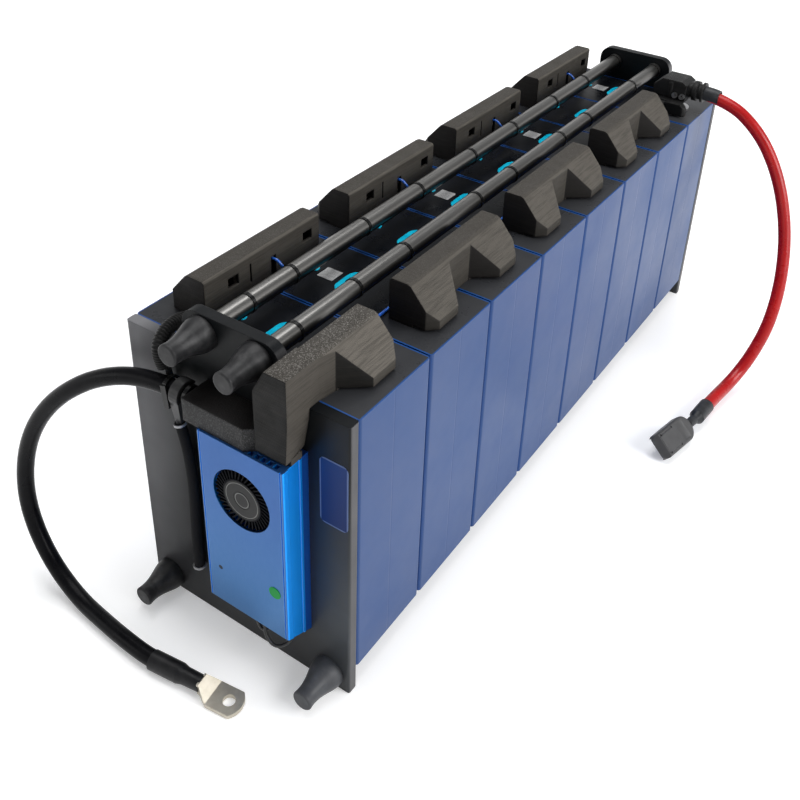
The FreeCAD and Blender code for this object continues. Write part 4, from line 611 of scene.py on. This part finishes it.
tin = Look("lug_tin", (0.5, 0.46, 0.38), 0.42, metal=1.0).mottle(180.0, (0.6, 0.56, 0.48), 0.8)
dress(tin.gloss(220.0, 0.36, 0.52).grain(350.0, 0.05, 0.4), "negative_lug", "positive_lug")
hood = Look("hood_rubber", (0.03, 0.03, 0.032), 0.45).mottle(120.0, (0.045, 0.045, 0.046), 0.8)
dress(hood.gloss(150.0, 0.4, 0.55).soften(0.7).grain(900.0, 0.06), "positive_boot")

negative_cable = make_cable("black_power_cable", NEGATIVE_ROUTE, black_sheath)
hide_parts("negative_cable")
positive_cable = make_cable("red_power_cable", POSITIVE_ROUTE, red_sheath)
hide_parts("positive_cable")


# Corrugated conduit

CONDUIT_RADIUS, RIB_DEPTH, RIB_PITCH = 4.6, 0.7, 1.7
RINGS_PER_RIB, CONDUIT_SIDES, CONDUIT_STEPS = 8, 32, 40
ROUNDING_SLACK = 1e-9
CONDUIT_ROUTE = [
    at(-49.0, 14.4, 210.2),
    at(-50.0, 4.5, 213.8),
    at(-49.6, -7.5, 215.0),
    at(-48.2, -17.6, 210.0),
    at(-47.4, -18.4, 199.8),
    at(-46.6, -16.6, 193.1),
]


def smooth_line(route):
    """Points along the smooth line that a route makes."""
    carrier = bpy.data.objects.new("route", route_curve("route", route, CONDUIT_STEPS))
    line = [vertex.co.copy() for vertex in bpy.data.meshes.new_from_object(carrier).vertices]
    bpy.data.objects.remove(carrier)
    return line


def rib_radius(ring):
    """Radius at a ring of points, in metres: ribs with flat tops and flat grooves."""
    swell = min(1.0, max(0.0, 0.5 + 0.9 * math.cos(2 * math.pi * ring / RINGS_PER_RIB)))
    return (CONDUIT_RADIUS - RIB_DEPTH * (1.0 - swell)) * MM


def ribbed_points(line):
    """Rings of points round a line, and how many steps there are from the first ring to the last."""
    gone = [0.0]
    for first, second in zip(line, line[1:]):
        gone.append(gone[-1] + (second - first).length)
    rings = round(gone[-1] / (RIB_PITCH * MM)) * RINGS_PER_RIB
    points = []
    outward = Vector((1.0, 0.0, 0.0))
    for ring in range(rings + 1):
        reach = gone[-1] * ring / rings
        step = next((i for i, g in enumerate(gone[1:]) if g >= reach - ROUNDING_SLACK), len(gone) - 2)
        share = (reach - gone[step]) / (gone[step + 1] - gone[step])
        along = (line[step + 1] - line[step]).normalized()
        outward = (outward - along * outward.dot(along)).normalized()
        across = along.cross(outward)
        radius = rib_radius(ring)
        middle = line[step].lerp(line[step + 1], share)
        for side in range(CONDUIT_SIDES):
            angle = 2 * math.pi * side / CONDUIT_SIDES
            points.append(middle + (outward * math.cos(angle) + across * math.sin(angle)) * radius)
    return points, rings


def tube_faces(steps, sides):
    """Walls from ring to ring, and a flat face at both ends."""
    faces = []
    for step in range(steps):
        near, far = step * sides, (step + 1) * sides
        for side in range(sides):
            after = (side + 1) % sides
            faces.append((near + side, near + after, far + after, far + side))
    faces.append(tuple(reversed(range(sides))))
    faces.append(tuple(range(steps * sides, (steps + 1) * sides)))
    return faces


def make_conduit():
    """A ribbed black tube from over the first cell to the front of the plate."""
    points, steps = ribbed_points(smooth_line(CONDUIT_ROUTE))
    mesh = bpy.data.meshes.new("corrugated_conduit")
    mesh.from_pydata(points, [], tube_faces(steps, CONDUIT_SIDES))
    mesh.shade_smooth()
    look = Look("conduit_plastic", grey(0.003), 0.32, ior=1.25).mottle(200.0, grey(0.007))
    mesh.materials.append(look.gloss(120.0, 0.36, 0.5).grain(900.0, 0.03).material)
    conduit = add_object("corrugated_conduit", mesh)
    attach(conduit, "pack")
    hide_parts("harness_conduit")


make_conduit()


# Floor, background and light

REACH, WALL_HEIGHT, WALL_SIDES = 24.0, 9.0, 96  # the stage, in metres
FLOOR_DROP, WALL_DROP = 0.0002, 0.01
FADE_START, FADE_END = 0.9, 3.0  # from the pack's middle
GLOW_NEAR = 0.28  # of the floor's full glow
ROOM_LIGHT = 0.33
WHITE = (1.0, 1.0, 1.0, 1.0)
ROOM_COLOR = (0.95, 0.97, 1.0, 1.0)


def show(name, points, faces, look):
    """A still piece of the stage."""
    mesh = bpy.data.meshes.new(name)
    mesh.from_pydata(points, [], faces)
    mesh.materials.append(look.material)
    made = add_object(name, mesh)
    return made


def seen_straight(look):
    """1 where a ray from the eye, a reflection or a clear body arrives, and 0 for scattered light."""
    path = look.node("ShaderNodeLightPath").outputs
    direct = look.math("MAXIMUM", path["Is Camera Ray"], path["Is Glossy Ray"])
    return look.math("MAXIMUM", direct, path["Is Transmission Ray"])


def glowing_look(name, color, rough):
    look = Look(name, color, rough)
    look.set("Emission Color", WHITE)
    return look


def make_floor():
    """Pale floor that turns into the white background away from the pack."""
    look = glowing_look("floor_paper", grey(0.9), 0.8)
    x, y, _ = look.axes()
    glow = look.ramp(look.radius(x, y, (0.0, 0.0)), FADE_START, FADE_END, GLOW_NEAR, 1.0)
    look.join(look.times(glow, seen_straight(look)), look.shader.inputs["Emission Strength"])
    corners = [(-REACH, -REACH, 0), (REACH, -REACH, 0), (REACH, REACH, 0), (-REACH, REACH, 0)]
    floor = show("floor", corners, [(0, 1, 2, 3)], look)
    floor.location.z = -FLOOR_DROP


def make_wall():
    """Round wall far behind, white to the eye and dimmer as a light."""
    look = glowing_look("wall_paper", grey(0.0), 0.9)
    glow = look.ramp(seen_straight(look), 0.0, 1.0, ROOM_LIGHT, 1.0)
    look.join(glow, look.shader.inputs["Emission Strength"])
    turns = [2 * math.pi * i / WALL_SIDES for i in range(WALL_SIDES)]
    points = [
        (math.cos(turn) * REACH, math.sin(turn) * REACH, height)
        for height in (-WALL_DROP, WALL_HEIGHT)
        for turn in turns
    ]
    faces = []
    for i in range(WALL_SIDES):
        after = (i + 1) % WALL_SIDES
        faces.append((i, after, after + WALL_SIDES, i + WALL_SIDES))
    show("wall", points, faces, look)


def add_light(name, place, aim, size, power):
    data = bpy.data.lights.new(name, "AREA")
    data.shape = "RECTANGLE"
    data.size, data.size_y = size
    data.energy = power
    light = add_object(name, data)
    light.location = place
    light.rotation_euler = (Vector(aim) - Vector(place)).to_track_quat("-Z", "Y").to_euler()


make_floor()
make_wall()
add_light("key", (2.3, 0.2, 1.5), (0.0, 0.0, 0.1), (1.6, 1.6), 60.0)
add_light("top", (-0.3, 0.3, 2.4), (0.0, 0.0, 0.1), (1.8, 1.8), 44.0)
add_light("fill", (-1.9, -2.0, 1.1), (0.0, -0.1, 0.1), (1.2, 1.2), 8.0)

world = bpy.data.worlds.new("studio")
world.use_nodes = True
world.node_tree.nodes["Background"].inputs["Color"].default_value = ROOM_COLOR
world.node_tree.nodes["Background"].inputs["Strength"].default_value = ROOM_LIGHT
bpy.context.scene.world = world
bpy.context.scene.view_settings.view_transform = "Standard"
